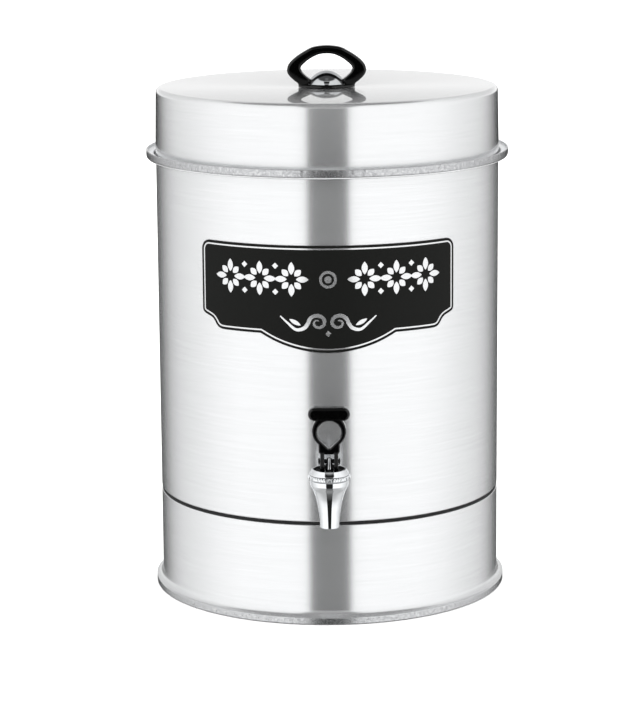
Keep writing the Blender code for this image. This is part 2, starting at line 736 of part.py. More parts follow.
def build_lever(lift):
    """Lever with a finger bar and a drop-shaped loop, on a yoke whose legs end in cams."""
    place = (0, 0, pin_z - seat_z)
    yoke_top = loop_centre - loop_radius * math.cos(math.asin(yoke_half_width / loop_radius))
    angle = math.degrees(math.acos(yoke_half_width / loop_radius))
    outline = arc((0, loop_centre), loop_radius, -angle, 180 + angle, small_steps)
    outline += [(-yoke_half_width, yoke_top - yoke_chamfer), (-yoke_half_width, yoke_bottom + yoke_chamfer),
                (-leg_outer, yoke_bottom), (leg_outer, yoke_bottom),
                (yoke_half_width, yoke_bottom + yoke_chamfer), (yoke_half_width, yoke_top - yoke_chamfer)]
    lever = add_object("tap_lever", prism_mesh("tap_lever", outline, lever_depth), black("tap_lever"),
                       lift, place)

    tilt = math.degrees(math.acos(loop_hole_radius / loop_hole_tip))
    drop = arc((0, loop_hole_centre), loop_hole_radius, -90 + tilt, 270 - tilt, small_steps)
    drop.append((0, loop_hole_centre - loop_hole_tip))
    hole = add_object("cut_lever_loop", prism_mesh("cut_lever_loop", drop, lever_depth + cut_overrun),
                      None, lift, place)
    boolean(lever, hole, "DIFFERENCE")
    round_edges(lever, lever_edge)

    end = bar_height / 2
    bar_line = arc((bar_half_width - end, bar_centre), end, -90, 90, corner_steps * 2)
    bar_line += arc((end - bar_half_width, bar_centre), end, 90, 270, corner_steps * 2)
    bar = add_object("join_lever_bar", prism_mesh("join_lever_bar", bar_line, bar_depth), None, lift, place)
    round_edges(bar, lever_edge * 2)
    boolean(lever, bar, "UNION")

    cam = arc((-heel_offset, 0), heel_radius, -180 + angle / 4, angle / 4, small_steps)
    leg_top = yoke_bottom + yoke_chamfer
    cam += [(lever_depth / 2, leg_top), (-lever_depth / 2, leg_top)]
    for side, name in ((1, "right"), (-1, "left")):
        mesh = prism_mesh(f"join_lever_leg_{name}", cam, leg_outer - leg_inner)
        centre = (side * (leg_outer + leg_inner) / 2, 0, place[2])
        leg = add_object(f"join_lever_leg_{name}", mesh, None, lift, centre, (0, 0, math.pi / 2))
        boolean(lever, leg, "UNION")
    pin_hole = rod("cut_lever_pin", pin_radius + fit_gap, -leg_outer - cut_overrun, leg_outer + cut_overrun,
                   lift, place, (0, math.pi / 2, 0))
    boolean(lever, pin_hole, "DIFFERENCE")


def build():
    """Clear the scene and build the coffee maker."""
    for item in list(bpy.data.objects):
        bpy.data.objects.remove(item, do_unlink=True)
    axis = empty("tank_axis", (0, axis_y, 0))
    shelf = build_stand(axis)
    wall, foot = build_tank(axis)
    build_base_screws(axis, shelf, foot)
    build_label(axis)
    build_lid(axis)
    build_basket(axis)
    build_tap(axis, wall)
    build_lever(build_stem(axis))


build()
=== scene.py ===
import math

import bmesh
import bpy
import numpy as np
from mathutils import Matrix, Vector


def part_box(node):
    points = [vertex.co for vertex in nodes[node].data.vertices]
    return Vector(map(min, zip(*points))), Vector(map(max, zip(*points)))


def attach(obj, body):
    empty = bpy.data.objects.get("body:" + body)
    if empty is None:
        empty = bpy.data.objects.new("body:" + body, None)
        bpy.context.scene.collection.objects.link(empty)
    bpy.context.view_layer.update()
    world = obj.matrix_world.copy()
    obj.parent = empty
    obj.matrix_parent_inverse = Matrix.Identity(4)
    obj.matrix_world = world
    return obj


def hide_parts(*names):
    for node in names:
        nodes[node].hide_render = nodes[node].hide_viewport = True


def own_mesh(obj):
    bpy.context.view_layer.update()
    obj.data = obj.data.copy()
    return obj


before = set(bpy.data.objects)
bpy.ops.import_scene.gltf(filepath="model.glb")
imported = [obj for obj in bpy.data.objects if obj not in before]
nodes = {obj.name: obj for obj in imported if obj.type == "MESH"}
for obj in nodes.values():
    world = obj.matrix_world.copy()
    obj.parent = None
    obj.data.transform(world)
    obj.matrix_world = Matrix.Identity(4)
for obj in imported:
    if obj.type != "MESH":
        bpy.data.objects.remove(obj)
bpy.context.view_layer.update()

# Sizes in the dictionaries are millimetres, and heights are counted from the table top.
mm = 0.001
wallLow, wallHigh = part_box("tank_wall")
axisY = (wallLow.y + wallHigh.y) / 2 / mm  # the tank's axis
print("frame loaded:", len(nodes), "CAD nodes, tank axis at y", round(axisY, 2), "mm")


def gridFaces(rows, columns, wrapRows, wrapColumns):
    # face (i, j) joins grid points (i, j), (i, j+1), (i+1, j+1), (i+1, j); a wrapped side goes back to 0
    i = np.arange(rows if wrapRows else rows - 1)[:, None]
    j = np.arange(columns if wrapColumns else columns - 1)[None, :]
    nextI, nextJ = (i + 1) % rows, (j + 1) % columns
    corners = (i * columns + j, i * columns + nextJ, nextI * columns + nextJ, nextI * columns + j)
    return np.stack([np.broadcast_to(c, (i.shape[0], j.shape[1])) for c in corners], -1).reshape(-1, 4)


def joinShells(shells):
    # several (points, faces) become one: each shell's face numbers move up by the points before it
    starts = np.cumsum([0] + [len(points) for points, _ in shells[:-1]])
    points = np.concatenate([points for points, _ in shells])
    return points, np.concatenate([faces + start for (_, faces), start in zip(shells, starts)])


def roundCorners(corners, steps=6):
    # each (r, z, radius) of a path gives way to an arc of that radius, touching both of its sides
    out = []
    for index, (r, z, radius) in enumerate(corners):
        here = np.array((r, z), float)
        if not radius:
            out.append(here[None])
            continue
        back = np.array(corners[index - 1][:2]) - here
        ahead = np.array(corners[(index + 1) % len(corners)][:2]) - here
        back, ahead = back / np.hypot(*back), ahead / np.hypot(*ahead)
        half = math.acos(max(-1, min(1, float(back @ ahead)))) / 2
        reach, sweep = radius / math.tan(half), math.pi - 2 * half
        centre = here + (back + ahead) / np.hypot(*(back + ahead)) * radius / math.sin(half)
        t = np.linspace(0, 1, steps + 1)[:, None]
        start, end = here + back * reach - centre, here + ahead * reach - centre
        out.append(centre + (np.sin((1 - t) * sweep) * start + np.sin(t * sweep) * end) / math.sin(sweep))
    return np.concatenate(out)


def smoothPath(points, steps=6, closed=False):
    # Catmull-Rom: between two points a cubic whose slope at each end is half the step between its neighbours
    p = np.asarray(points, float)
    if closed:
        before, after, after2 = np.roll(p, 1, 0), np.roll(p, -1, 0), np.roll(p, -2, 0)
    else:
        before, after = np.vstack((2 * p[0] - p[1], p[:-1])), np.vstack((p[1:], p[-1]))
        after2 = np.vstack((p[2:], 2 * p[-1] - p[-2], p[-1]))
        p, before, after, after2 = p[:-1], before[:-1], after[:-1], after2[:-1]
    t = (np.arange(steps) / steps)[None, :, None]
    p, before, after, after2 = (a[:, None, :] for a in (p, before, after, after2))
    cubic = 0.5 * (2 * p + (after - before) * t + (2 * before - 5 * p + 4 * after - after2) * t ** 2
                   + (3 * p - before - 3 * after + after2) * t ** 3)
    cubic = cubic.reshape(-1, cubic.shape[-1])
    return cubic if closed else np.vstack((cubic, np.asarray(points, float)[-1]))


def evenPath(points, count):
    # the same path with its points an equal length apart
    p = np.asarray(points, float)
    length = np.concatenate(([0], np.cumsum(np.linalg.norm(np.diff(p, axis=0), axis=1))))
    at = np.linspace(0, length[-1], count)
    return np.stack([np.interp(at, length, p[:, k]) for k in range(p.shape[1])], -1)


def turned(section, steps, ripple=None, centre=None, along="z", closed=True, stretch=1):
    # point (i, j) is section point i = (radius, height) carried j/steps of a turn round the axis;
    # ripple(radius, height, angle) gives what is added to both, angle 0 is the front
    angle = np.arange(steps) * 2 * np.pi / steps
    r = np.repeat(section[:, :1], steps, 1)
    h = np.repeat(section[:, 1:2], steps, 1)
    if ripple:
        addR, addH = ripple(r, h, angle[None, :])
        r, h = r + addR, h + addH
    u, v = r * np.sin(angle) * stretch, -r * np.cos(angle)
    axes = {"z": (u, v, h), "y": (u, h, v), "x": (h, u, v)}[along]
    points = np.stack(axes, -1).reshape(-1, 3)
    points = points + np.array((0, axisY, 0) if centre is None else centre)
    return points, gridFaces(len(section), steps, closed, True)


def inset(outline, amount):
    # a closed anticlockwise outline moved inward: each point along the mean normal of its two sides
    ahead = np.roll(outline, -1, 0) - outline
    ahead = np.stack((-ahead[:, 1], ahead[:, 0]), -1) / np.maximum(np.hypot(ahead[:, 0], ahead[:, 1]), 1e-9)[:, None]
    mean = ahead + np.roll(ahead, 1, 0)
    mean /= np.maximum((mean ** 2).sum(1) / 2, 0.4)[:, None]
    return outline + mean * amount


def layers(half, edge, steps):
    # (inset, height) from the front face's edge round both rounded edges to the back face's edge
    a = np.linspace(0, np.pi / 2, steps + 1)
    front = np.stack((edge * (1 - np.sin(a)), half - edge * (1 - np.cos(a))), -1)
    return np.vstack((front, front[::-1] * (1, -1)))


def plate(outline, half, edge, steps=4, caps=(0, 0.4, 0.75)):
    # a plate with rounded edges: rings from the middle of the front out, over the edge and back in
    ring = layers(half, edge, steps)
    middle = outline.mean(0)
    face = middle + (inset(outline, edge) - middle) * np.array(caps)[:, None, None]
    side = np.stack([inset(outline, amount) for amount, _ in ring])
    flat = np.concatenate((face, side, face[::-1]))
    height = np.concatenate((np.full(len(caps), half), ring[:, 1], np.full(len(caps), -half)))
    points = np.concatenate((flat, np.broadcast_to(height[:, None, None], flat.shape[:2] + (1,))), -1)
    return points.reshape(-1, 3), gridFaces(len(flat), len(outline), False, True)


def framePlate(outer, inner, half, edge, steps=4):
    # a plate with a hole: the rings go round the outer edge, across the back, round the hole and across the front
    ring = layers(half, edge, steps)
    flat = np.concatenate([np.stack([inset(outer, amount) for amount, _ in ring]),
                           np.stack([inset(inner, -amount) for amount, _ in ring[::-1]])])
    height = np.concatenate((ring[:, 1], ring[::-1, 1]))
    points = np.concatenate((flat, np.broadcast_to(height[:, None, None], flat.shape[:2] + (1,))), -1)
    return points.reshape(-1, 3), gridFaces(len(flat), len(outer), True, True)


def tube(path, radius, sides, across):
    # a circle carried along a path that lies in a plane; across is that plane's normal, and both ends close
    step = np.gradient(path, axis=0)
    step /= np.linalg.norm(step, axis=1)[:, None]
    side = np.cross(step, across)
    turn = np.arange(sides) * 2 * np.pi / sides
    rings = path[:, None, :] + radius * (side[:, None, :] * np.cos(turn)[None, :, None]
                                         + np.asarray(across, float)[None, None, :] * np.sin(turn)[None, :, None])
    rings = np.concatenate((np.broadcast_to(path[:1, None, :], rings[:1].shape), rings,
                            np.broadcast_to(path[-1:, None, :], rings[:1].shape)))
    return rings.reshape(-1, 3), gridFaces(len(rings), sides, False, True)


def place(shell, matrix, centre):
    # every point times the 3 x 3 matrix, then moved to the centre
    points, faces = shell
    return points @ np.array(matrix, float).T + np.array(centre, float), faces


standing = ((1, 0, 0), (0, 0, -1), (0, 1, 0))  # a plate's (x, y, thickness) stood up: thickness along Y


def addPiece(name, shell, materials, body, replaced=(), sharp=32, zone=None):
    # the arrays go into the mesh whole; doubles at poles and seams merge, then the normals turn outward
    points, faces = shell
    mesh = bpy.data.meshes.new(name)
    mesh.vertices.add(len(points))
    mesh.vertices.foreach_set("co", (points * mm).astype(np.float32).ravel())
    mesh.loops.add(faces.size)
    mesh.loops.foreach_set("vertex_index", faces.astype(np.int32).ravel())
    mesh.polygons.add(len(faces))
    mesh.polygons.foreach_set("loop_start", np.arange(0, faces.size, 4, dtype=np.int32))
    if zone is not None:
        mesh.polygons.foreach_set("material_index", zone.astype(np.int32))
    mesh.update(calc_edges=True)
    worker = bmesh.new()
    worker.from_mesh(mesh)
    bmesh.ops.remove_doubles(worker, verts=worker.verts, dist=2e-6)
    bmesh.ops.recalc_face_normals(worker, faces=worker.faces)
    worker.to_mesh(mesh)
    worker.free()
    mesh.shade_smooth()
    mesh.set_sharp_from_angle(angle=math.radians(sharp))
    for material in materials:
        mesh.materials.append(material)
    piece = bpy.data.objects.new(name, mesh)
    bpy.context.scene.collection.objects.link(piece)
    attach(piece, body)
    if replaced:
        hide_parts(*replaced)
    return piece


def colour(code):
    # sRGB hex to linear light, with alpha 1
    parts = [int(code[k:k + 2], 16) / 255 for k in (1, 3, 5)]
    return tuple(p / 12.92 if p <= 0.04045 else ((p + 0.055) / 1.055) ** 2.4 for p in parts) + (1.0,)


def addNode(tree, kind, inputs=(), **settings):
    # one node with its settings; an input takes a value or another node's output
    node = tree.nodes.new(kind)
    for name, value in settings.items():
        setattr(node, name, value)
    for key, value in dict(inputs).items():
        if isinstance(value, bpy.types.NodeSocket):
            tree.links.new(value, node.inputs[key])
        else:
            node.inputs[key].default_value = value
    return node


def startMaterial(name, **sockets):
    material = bpy.data.materials.new(name)
    material.use_nodes = True
    tree = material.node_tree
    shader = tree.nodes["Principled BSDF"]
    for key, value in sockets.items():
        shader.inputs[key.replace("_", " ")].default_value = value
    return material, tree, shader


def brushedSteel(name, hexLight, hexDark, roughness, spread, lines, smudge, aniso=0.86, coat=0.0, bump=0.02, metal=0.82):
    # 304 stainless sheet, spun and brushed round the axis: long hairlines round it, so that reflections
    # smear up and down and stay crisp sideways. The torn edges of the hairlines scatter light evenly, so a
    # grey veil lies over the crisp reflection, which a metallic value a little under 1 gives. lines is the
    # hairlines' distance in mm and smudge the size of the broad uneven patches in mm.
    material, tree, shader = startMaterial(name, Metallic=metal, Anisotropic=aniso, Anisotropic_Rotation=0.25,
                                           Coat_Weight=coat, Coat_Roughness=0.03, Coat_IOR=1.5)
    coords = addNode(tree, "ShaderNodeTexCoord")
    centred = addNode(tree, "ShaderNodeMapping", {"Vector": coords.outputs["Object"], "Location": (0, -axisY * mm, 0)})
    split = addNode(tree, "ShaderNodeSeparateXYZ", {0: centred.outputs[0]})
    flat = addNode(tree, "ShaderNodeCombineXYZ", {0: split.outputs[0], 1: split.outputs[1]})
    radius = addNode(tree, "ShaderNodeVectorMath", {0: flat.outputs[0]}, operation="LENGTH")
    across = addNode(tree, "ShaderNodeMath", {0: radius.outputs["Value"], 1: split.outputs[2]}, operation="ADD")
    along = addNode(tree, "ShaderNodeCombineXYZ", {0: split.outputs[0], 1: split.outputs[1], 2: across.outputs[0]})
    fineAt = addNode(tree, "ShaderNodeVectorMath", {0: along.outputs[0], 1: (26, 26, 1 / (lines * mm))}, operation="MULTIPLY")
    fine = addNode(tree, "ShaderNodeTexNoise", {"Vector": fineAt.outputs[0], "Scale": 1.0, "Detail": 3.0, "Roughness": 0.6})
    wideAt = addNode(tree, "ShaderNodeVectorMath", {0: along.outputs[0], 1: (12, 12, 0.34 / (lines * mm))}, operation="MULTIPLY")
    wide = addNode(tree, "ShaderNodeTexNoise", {"Vector": wideAt.outputs[0], "Scale": 1.0, "Detail": 3.0, "Roughness": 0.6})
    patch = addNode(tree, "ShaderNodeTexNoise", {"Vector": centred.outputs[0], "Scale": 1 / (smudge * mm), "Detail": 2.0, "Roughness": 0.5})
    both = addNode(tree, "ShaderNodeMath", {0: fine.outputs[0], 1: wide.outputs[0]}, operation="ADD")
    streak = addNode(tree, "ShaderNodeMapRange", {0: both.outputs[0], 1: 0.7, 2: 1.3, 3: 0.0, 4: 1.0})
    tint = addNode(tree, "ShaderNodeMix", {0: streak.outputs[0], 6: colour(hexDark), 7: colour(hexLight)}, data_type="RGBA")
    mixed = addNode(tree, "ShaderNodeMath", {0: both.outputs[0], 1: patch.outputs[0]}, operation="ADD")
    rough = addNode(tree, "ShaderNodeMapRange", {0: mixed.outputs[0], 1: 1.1, 2: 1.9, 3: roughness - spread, 4: roughness + spread})
    relief = addNode(tree, "ShaderNodeBump", {"Height": fine.outputs[0], "Strength": bump, "Distance": 0.00001})
    tangent = addNode(tree, "ShaderNodeTangent", direction_type="RADIAL", axis="Z")
    for socket, source in (("Base Color", tint.outputs[2]), ("Roughness", rough.outputs[0]),
                           ("Normal", relief.outputs[0]), ("Tangent", tangent.outputs[0])):
        tree.links.new(source, shader.inputs[socket])
    return material


def mottled(name, hexLight, hexDark, metallic, roughness, spread, grain, bump=0.2, detail=3.0, stretch=(1, 1, 1), **sockets):
    # a finish whose tone, gloss and height vary together in a grain of `grain` mm, stretched per axis
    material, tree, shader = startMaterial(name, Metallic=metallic, **sockets)
    coords = addNode(tree, "ShaderNodeTexCoord")
    at = addNode(tree, "ShaderNodeMapping", {"Vector": coords.outputs["Object"], "Scale": tuple(s / (grain * mm) for s in stretch)})
    noise = addNode(tree, "ShaderNodeTexNoise", {"Vector": at.outputs[0], "Scale": 1.0, "Detail": detail, "Roughness": 0.6})
    share = addNode(tree, "ShaderNodeMapRange", {0: noise.outputs[0], 1: 0.3, 2: 0.7, 3: 0.0, 4: 1.0})
    tint = addNode(tree, "ShaderNodeMix", {0: share.outputs[0], 6: colour(hexDark), 7: colour(hexLight)}, data_type="RGBA")
    rough = addNode(tree, "ShaderNodeMapRange", {0: share.outputs[0], 1: 0.0, 2: 1.0, 3: roughness + spread, 4: roughness - spread})
    relief = addNode(tree, "ShaderNodeBump", {"Height": noise.outputs[0], "Strength": bump, "Distance": grain * mm * 0.06})
    for socket, source in (("Base Color", tint.outputs[2]), ("Roughness", rough.outputs[0]), ("Normal", relief.outputs[0])):
        tree.links.new(source, shader.inputs[socket])
    return material


# Stainless tank sheet: bright, with faint hairlines round it.
tankSteel = brushedSteel("stainless304BrushedRound", "#d8d9da", "#d2d3d4", 0.23, 0.005, 0.45, 70)
# Lid sheet: finer brushing under a buffed, almost mirror-like skin that shows the knob again at a low angle.
lidSteel = brushedSteel("stainless304BuffedLid", "#d6d7d8", "#d0d1d2", 0.24, 0.005, 0.4, 60, coat=1.0, bump=0.015)
# Rolled rims: the sheet's mill finish is left where the brush doesn't reach, greyer and slightly pitted.
rimSteel = mottled("stainless304RolledRim", "#cacbcc", "#98999b", 0.9, 0.24, 0.08, 1.5, bump=0.4, detail=4.0)
# Gutter of the mouth ring: pale matt, its light colour and low metal are painted light that lifts the shade of the
# narrow slot.
gutterSteel = mottled("stainless304GutterPaintedLight", "#eeeff0", "#e2e3e4", 0.3, 0.45, 0.05, 2.5, bump=0.1)
# Inside sheet: satin, brushed less evenly.
innerSteel = brushedSteel("stainless304SatinInside", "#b9babb", "#a8a9aa", 0.36, 0.05, 0.6, 40, aniso=0.5, metal=0.9)
# Zinc-plated steel of screws, nuts and spring: dull grey with faint cloudy patches.
zincSteel = mottled("steelZincPlated", "#b4b5b4", "#9b9c9b", 1.0, 0.36, 0.06, 2.5)
# Stainless wire, drawn and polished: lines run along it.
wireSteel = mottled("stainless304DrawnWire", "#cfd0d1", "#bcbdbe", 1.0, 0.2, 0.05, 1.2, stretch=(0.2, 1, 1))
# Chromed brass of the tap: mirror-bright, with only the faintest haze.
chromeBrass = mottled("brassChromePlated", "#dfe1e3", "#d8dadc", 1.0, 0.05, 0.015, 6, bump=0.03)
# Pressed dome on the knob: polished stainless, a shade darker than chrome.
domeSteel = mottled("stainless304PolishedCap", "#bcbec0", "#b4b6b8", 1.0, 0.08, 0.02, 5, bump=0.03)
# Pin: dark steel whose dark tone is a painted reflection, standing in for the dark reflections on the pin heads, with
# greyer spots at random.
darkSteel = mottled("steelPinPaintedDarkReflection", "#3a3a3b", "#1e1e1f", 1.0, 0.32, 0.06, 1.4)
# Moulded phenolic plastic of knob and lever: deep black, polished by the mould, crisp highlights on its edges.
blackPhenolic = mottled("phenolicMouldedBlack", "#030303", "#020202", 0.0, 0.06, 0.02, 3, bump=0.02, IOR=1.5, Specular_IOR_Level=0.36)
# Screen-printed label: satin black ink over steel, with a very fine stipple.
labelInk = mottled("inkScreenPrintedBlack", "#0e0f0d", "#0b0c0a", 0.0, 0.55, 0.05, 0.8, bump=0.08, Specular_IOR_Level=0.12)
# Rubber of gasket, feet and washers: dull black with a powdery grain.
blackRubber = mottled("rubberMouldedBlack", "#111112", "#0b0b0c", 0.0, 0.72, 0.06, 0.9)
# Silicone of the seat cup: milky and soft.
milkySilicone = mottled("siliconeMouldedClear", "#dcdcd4", "#cfcfc6", 0.0, 0.45, 0.05, 1.5, Subsurface_Weight=0.15)
print("materials ready:", len(bpy.data.materials))


stand = dict(radius=130.0, sheet=1.0, top=74.7, flange=135.0, rimTop=5.4, rimBottom=0.6, flare=5.0, steps=288)


def buildStand(s):
    # section of the spun skirt: straight wall, hollow flare, flat ledge and upright rim
    outer, inner = s["radius"], s["radius"] - s["sheet"]
    section = roundCorners([
        (inner, s["top"], 0.25), (outer, s["top"], 0.45), (outer, s["rimTop"], s["flare"]),
        (s["flange"], s["rimTop"], 0.4), (s["flange"], s["rimBottom"], 0.35),
        (s["flange"] - s["sheet"], s["rimBottom"], 0.2),
        (s["flange"] - s["sheet"], s["rimTop"] - s["sheet"], 0.5),
        (inner, s["rimTop"] - s["sheet"], s["flare"] + s["sheet"])])

    def ripple(r, h, angle):
        # the rim wavers by a few hundredths, as spinning leaves it
        share = np.clip((r - outer - 3.5) / 1.2, 0, 1) * (h < s["rimTop"] - 0.6)
        return -share * 0.06 * (1 + np.sin(angle * 61) * np.sin(angle * 23 + 1)), 0 * h

    points, faces = turned(section, s["steps"], ripple)
    middle = points[faces].mean(1)
    out = np.hypot(middle[:, 0], middle[:, 1] - axisY)
    zone = ((out > outer + 3.9) & (middle[:, 2] < s["rimTop"] - 0.25)).astype(int)
    addPiece("standSkirt", (points, faces), [tankSteel, rimSteel], "tank_and_stand", ["base_skirt"], zone=zone)

    gasket = roundCorners([(124.0, 76.7, 0.4), (124.0, 75.0, 0.4), (129.2, 75.0, 0.5), (129.2, 76.7, 0.5)], 3)
    addPiece("seamGasket", turned(gasket, 240), [blackRubber], "tank_and_stand", ["seam_gasket"])

    # the foot ring's underside has three small grooves that grip the table
    low = [(130.5, 0.0, 0.3), (131.1, 0.0, 0), (131.3, 0.5, 0), (131.5, 0.0, 0), (132.0, 0.0, 0), (132.2, 0.5, 0),
           (132.4, 0.0, 0), (133.0, 0.0, 0), (133.2, 0.3, 0), (133.7, 0.45, 0.2), (133.7, 3.8, 0.5), (130.5, 3.8, 0.5)]
    addPiece("footRing", turned(roundCorners(low, 3), 192), [blackRubber], "tank_and_stand", ["foot_ring"])


buildStand(stand)
print("stand built")


tank = dict(radius=130.0, sheet=1.0, bottom=77.0, top=330.4, edge=1.3, steps=192, port=110.4, portRadius=8.1, window=4, rings=5)


def buildTankWall(t):
    # section of the wall with the rows that the round port needs, then the port's patch in place of its window
    step = 2 * math.pi * t["radius"] / t["steps"]
    rows = t["port"] + np.arange(-t["window"], t["window"] + 1) * step
    outer, inner = t["radius"], t["radius"] - t["sheet"]
    curl = roundCorners([(outer, t["bottom"] + 12, 0), (outer, t["bottom"], t["edge"]), (outer - t["edge"], t["bottom"], 0),
                         (outer - t["edge"], t["bottom"] + t["sheet"], 0), (inner, t["bottom"] + t["sheet"], t["edge"] - t["sheet"])])
    outside = np.stack((np.full(len(rows), outer), rows[::-1]), -1)
    inside = np.stack((np.full(len(rows), inner), rows), -1)
    higher = np.linspace(rows[-1], t["top"], 7)[1:]
    section = np.concatenate((np.stack((np.full(6, outer), higher[::-1]), -1), outside, curl[1:], inside,
                              np.stack((np.full(6, inner), higher), -1)))
    points, faces = turned(section, t["steps"])
    middle = points[faces].mean(1)
    far = step * t["window"]
    kept = (np.abs(middle[:, 0]) > far) | (middle[:, 1] > axisY) | (np.abs(middle[:, 2] - t["port"]) > far)
    shells = [(points, faces[kept])]
    # patch: the window's border points slide straight towards the port's circle in `rings` steps
    k = np.arange(-t["window"], t["window"]) * step
    border = np.concatenate((np.stack((k, k * 0 - far), -1), np.stack((k * 0 + far, k), -1),
                             np.stack((-k, k * 0 + far), -1), np.stack((k * 0 - far, -k), -1)))
    circle = border / np.hypot(border[:, 0], border[:, 1])[:, None] * t["portRadius"]
    f = np.linspace(0, 1, t["rings"] + 1)[:, None, None]
    patch = border + (circle - border) * f

    def bend(patch, radius):
        angle = patch[..., 0] / t["radius"]
        return np.stack((radius * np.sin(angle), axisY - radius * np.cos(angle), t["port"] + patch[..., 1]), -1)

    grid = np.concatenate((bend(patch, outer), bend(patch[::-1], inner)))
    shells.append((grid.reshape(-1, 3), gridFaces(len(grid), len(border), False, True)))
    addPiece("tankWall", joinShells(shells), [tankSteel], "tank_and_stand", ["tank_wall"])


def buildTankFloor():
    section = roundCorners([(0, 85.0, 0), (128.7, 85.0, 2.5), (128.7, 80.0, 0.3), (127.7, 80.0, 0.3), (127.7, 84.0, 1.5), (0, 84.0, 0)])
    extra = np.stack((np.linspace(0, 120, 9), np.full(9, 85.0)), -1)
    section = np.concatenate((extra, section[1:]))
    addPiece("tankFloor", turned(section, 160, closed=False), [innerSteel], "tank_and_stand", ["tank_floor"])


mouth = dict(ring=137.3, lipTop=337.8, under=330.7, floor=331.7, ledge=335.2, step=131.3, neckOuter=128.0, neckInner=127.0, neckTop=350.3,
             pitch=8.6, notch=0.16, steps=1200)


def buildMouthRing(m):
    # section: neck, narrow groove for the lid's edge, ledge and lip
    section = roundCorners([
        (m["neckInner"], m["neckTop"], 0.4), (m["neckInner"], m["under"], 1.5), (m["ring"], m["under"], 3.0),
        (m["ring"], m["lipTop"], 0.45), (m["ring"] - 1, m["lipTop"], 0.45), (m["ring"] - 1, m["ledge"], 1.2),
        (m["step"] + 0.3, m["ledge"], 0.6), (m["step"], m["floor"], 0.3), (m["neckOuter"], m["floor"], 0.5), (m["neckOuter"], m["neckTop"], 0.4)], 5)
    section = np.insert(section, 18, [m["ring"], m["lipTop"] - 1.7], axis=0)  # where the nips of the lip start
    count = round(2 * math.pi * m["ring"] / m["pitch"])

    def ripple(r, h, angle):
        # the beading tool nips the lip's top once each pitch, inward and down, and never twice alike
        lip = np.clip((h - m["lipTop"] + 2.1) / 1.2, 0, 1) * (r > m["ring"] - 1.3)
        bite = np.clip(np.cos(angle * count), 0, 1) ** 3 * (0.65 + 0.35 * np.sin(angle * 7.0) * np.sin(angle * 31.0 + 2))
        return -lip * bite * m["notch"], -lip * bite * m["notch"] * 0.7

    points, faces = turned(section, m["steps"], ripple)
    middle = points[faces].mean(1)
    out = np.hypot(middle[:, 0], middle[:, 1] - axisY)
    # the gutter's faces take the pale matt finish, painted light that lifts the slot's shade
    gutter = (out > m["neckOuter"] - 0.4) & (out < 136.6) & (middle[:, 2] > m["under"] + 0.6) & ((middle[:, 2] < m["floor"] + 1.6) | (out > m["step"] - 0.2))
    zone = ((out > 134.4) & ~gutter) + 2 * gutter
    addPiece("mouthRing", (points, faces), [tankSteel, rimSteel, gutterSteel], "tank_and_stand", ["mouth_ring"], zone=zone)


buildTankWall(tank)
buildTankFloor()
buildMouthRing(mouth)
print("tank built")


label = dict(radius=130.3, thick=0.4, halfArc=101.4, top=282.2, sideFoot=230.0, shelf=217.2, bulge=50.0, bulgeDrop=13.3,
             corner=7.2, cornerWidth=21.8, inset=1.9, line=1.05, raised=0.05)
labelSteps = ((0.00, 0.00), (0.16, 0.02), (0.29, 0.10), (0.38, 0.25), (0.46, 0.44), (0.56, 0.60), (0.72, 0.71), (0.87, 0.80), (0.96, 0.90), (1.00, 1.04))


def labelLow(s, v):
    # lower edge at |s| along the wall: an arc in the middle, a level shelf, then the stepped corner
    radius = (v["bulge"] ** 2 + v["bulgeDrop"] ** 2) / (2 * v["bulgeDrop"])
    arc = v["shelf"] - v["bulgeDrop"] + radius - np.sqrt(radius ** 2 - np.minimum(s, v["bulge"]) ** 2)
    curve = smoothPath(labelSteps, 8)
    share = (s - v["halfArc"] + v["cornerWidth"]) / v["cornerWidth"]
    corner = v["shelf"] + (v["sideFoot"] - v["shelf"]) * np.interp(share, curve[:, 0], curve[:, 1])
    return np.where(s <= v["bulge"], arc, corner)


def labelHigh(s, v):
    past = np.clip(s - (v["halfArc"] - v["corner"]), 0, v["corner"])
    return v["top"] - v["corner"] + np.sqrt(v["corner"] ** 2 - past ** 2)


def wrap(points, radius):
    # (s, height, out) to the tank's wall: s runs round it from the front, out is added to the radius
    angle = points[..., 0] / 130.0
    r = radius + points[..., 2]
    return np.stack((r * np.sin(angle), axisY - r * np.cos(angle), points[..., 1]), -1)


def buildLabel(v):
    turn = np.sin(np.linspace(0, np.pi / 2, 9))
    half = np.unique(np.round(np.concatenate((np.arange(0, v["halfArc"] - v["corner"], 1.0),
                                              v["halfArc"] - v["corner"] * (1 - turn),
                                              v["halfArc"] - v["cornerWidth"] * (1 - smoothPath(labelSteps, 4)[:, 0]))), 3))
    s = np.concatenate((-half[:0:-1], half))
    low, high = labelLow(np.abs(s), v), labelHigh(np.abs(s), v)
    rows = np.linspace(0, 1, 9)[:, None]
    height = low + (high - low) * rows
    flat = np.stack((np.broadcast_to(s, height.shape), height), -1)
    front = np.concatenate((flat, np.full(flat.shape[:2] + (1,), v["thick"])), -1)
    back = np.concatenate((flat[::-1], np.zeros(flat.shape[:2] + (1,))), -1)
    grid = wrap(np.concatenate((front, back)), v["radius"])
    shells = [(grid.reshape(-1, 3), gridFaces(len(grid), len(s), True, False))]
    for column in (0, len(s) - 1):  # the two straight ends
        end = np.stack((grid[:9, column], grid[9:, column][::-1]))
        shells.append((end.reshape(-1, 3), gridFaces(2, 9, False, False)))
    addPiece("labelPlate", joinShells(shells), [labelInk], "tank_and_stand", ["front_label"])
    return np.concatenate((np.stack((s, low), -1), np.stack((s[::-1], high[::-1]), -1)))


def ribbon(outer, inner, v):
    # a flat closed band between two outlines, a little proud of the label
    base, top = v["thick"] - 0.02, v["thick"] + v["raised"]
    rings = [np.column_stack((line, np.full(len(line), h))) for line, h in ((outer, base), (outer, top), (inner, top), (inner, base))]
    grid = wrap(np.stack(rings), v["radius"])
    return grid.reshape(-1, 3), gridFaces(4, len(outer), True, True)


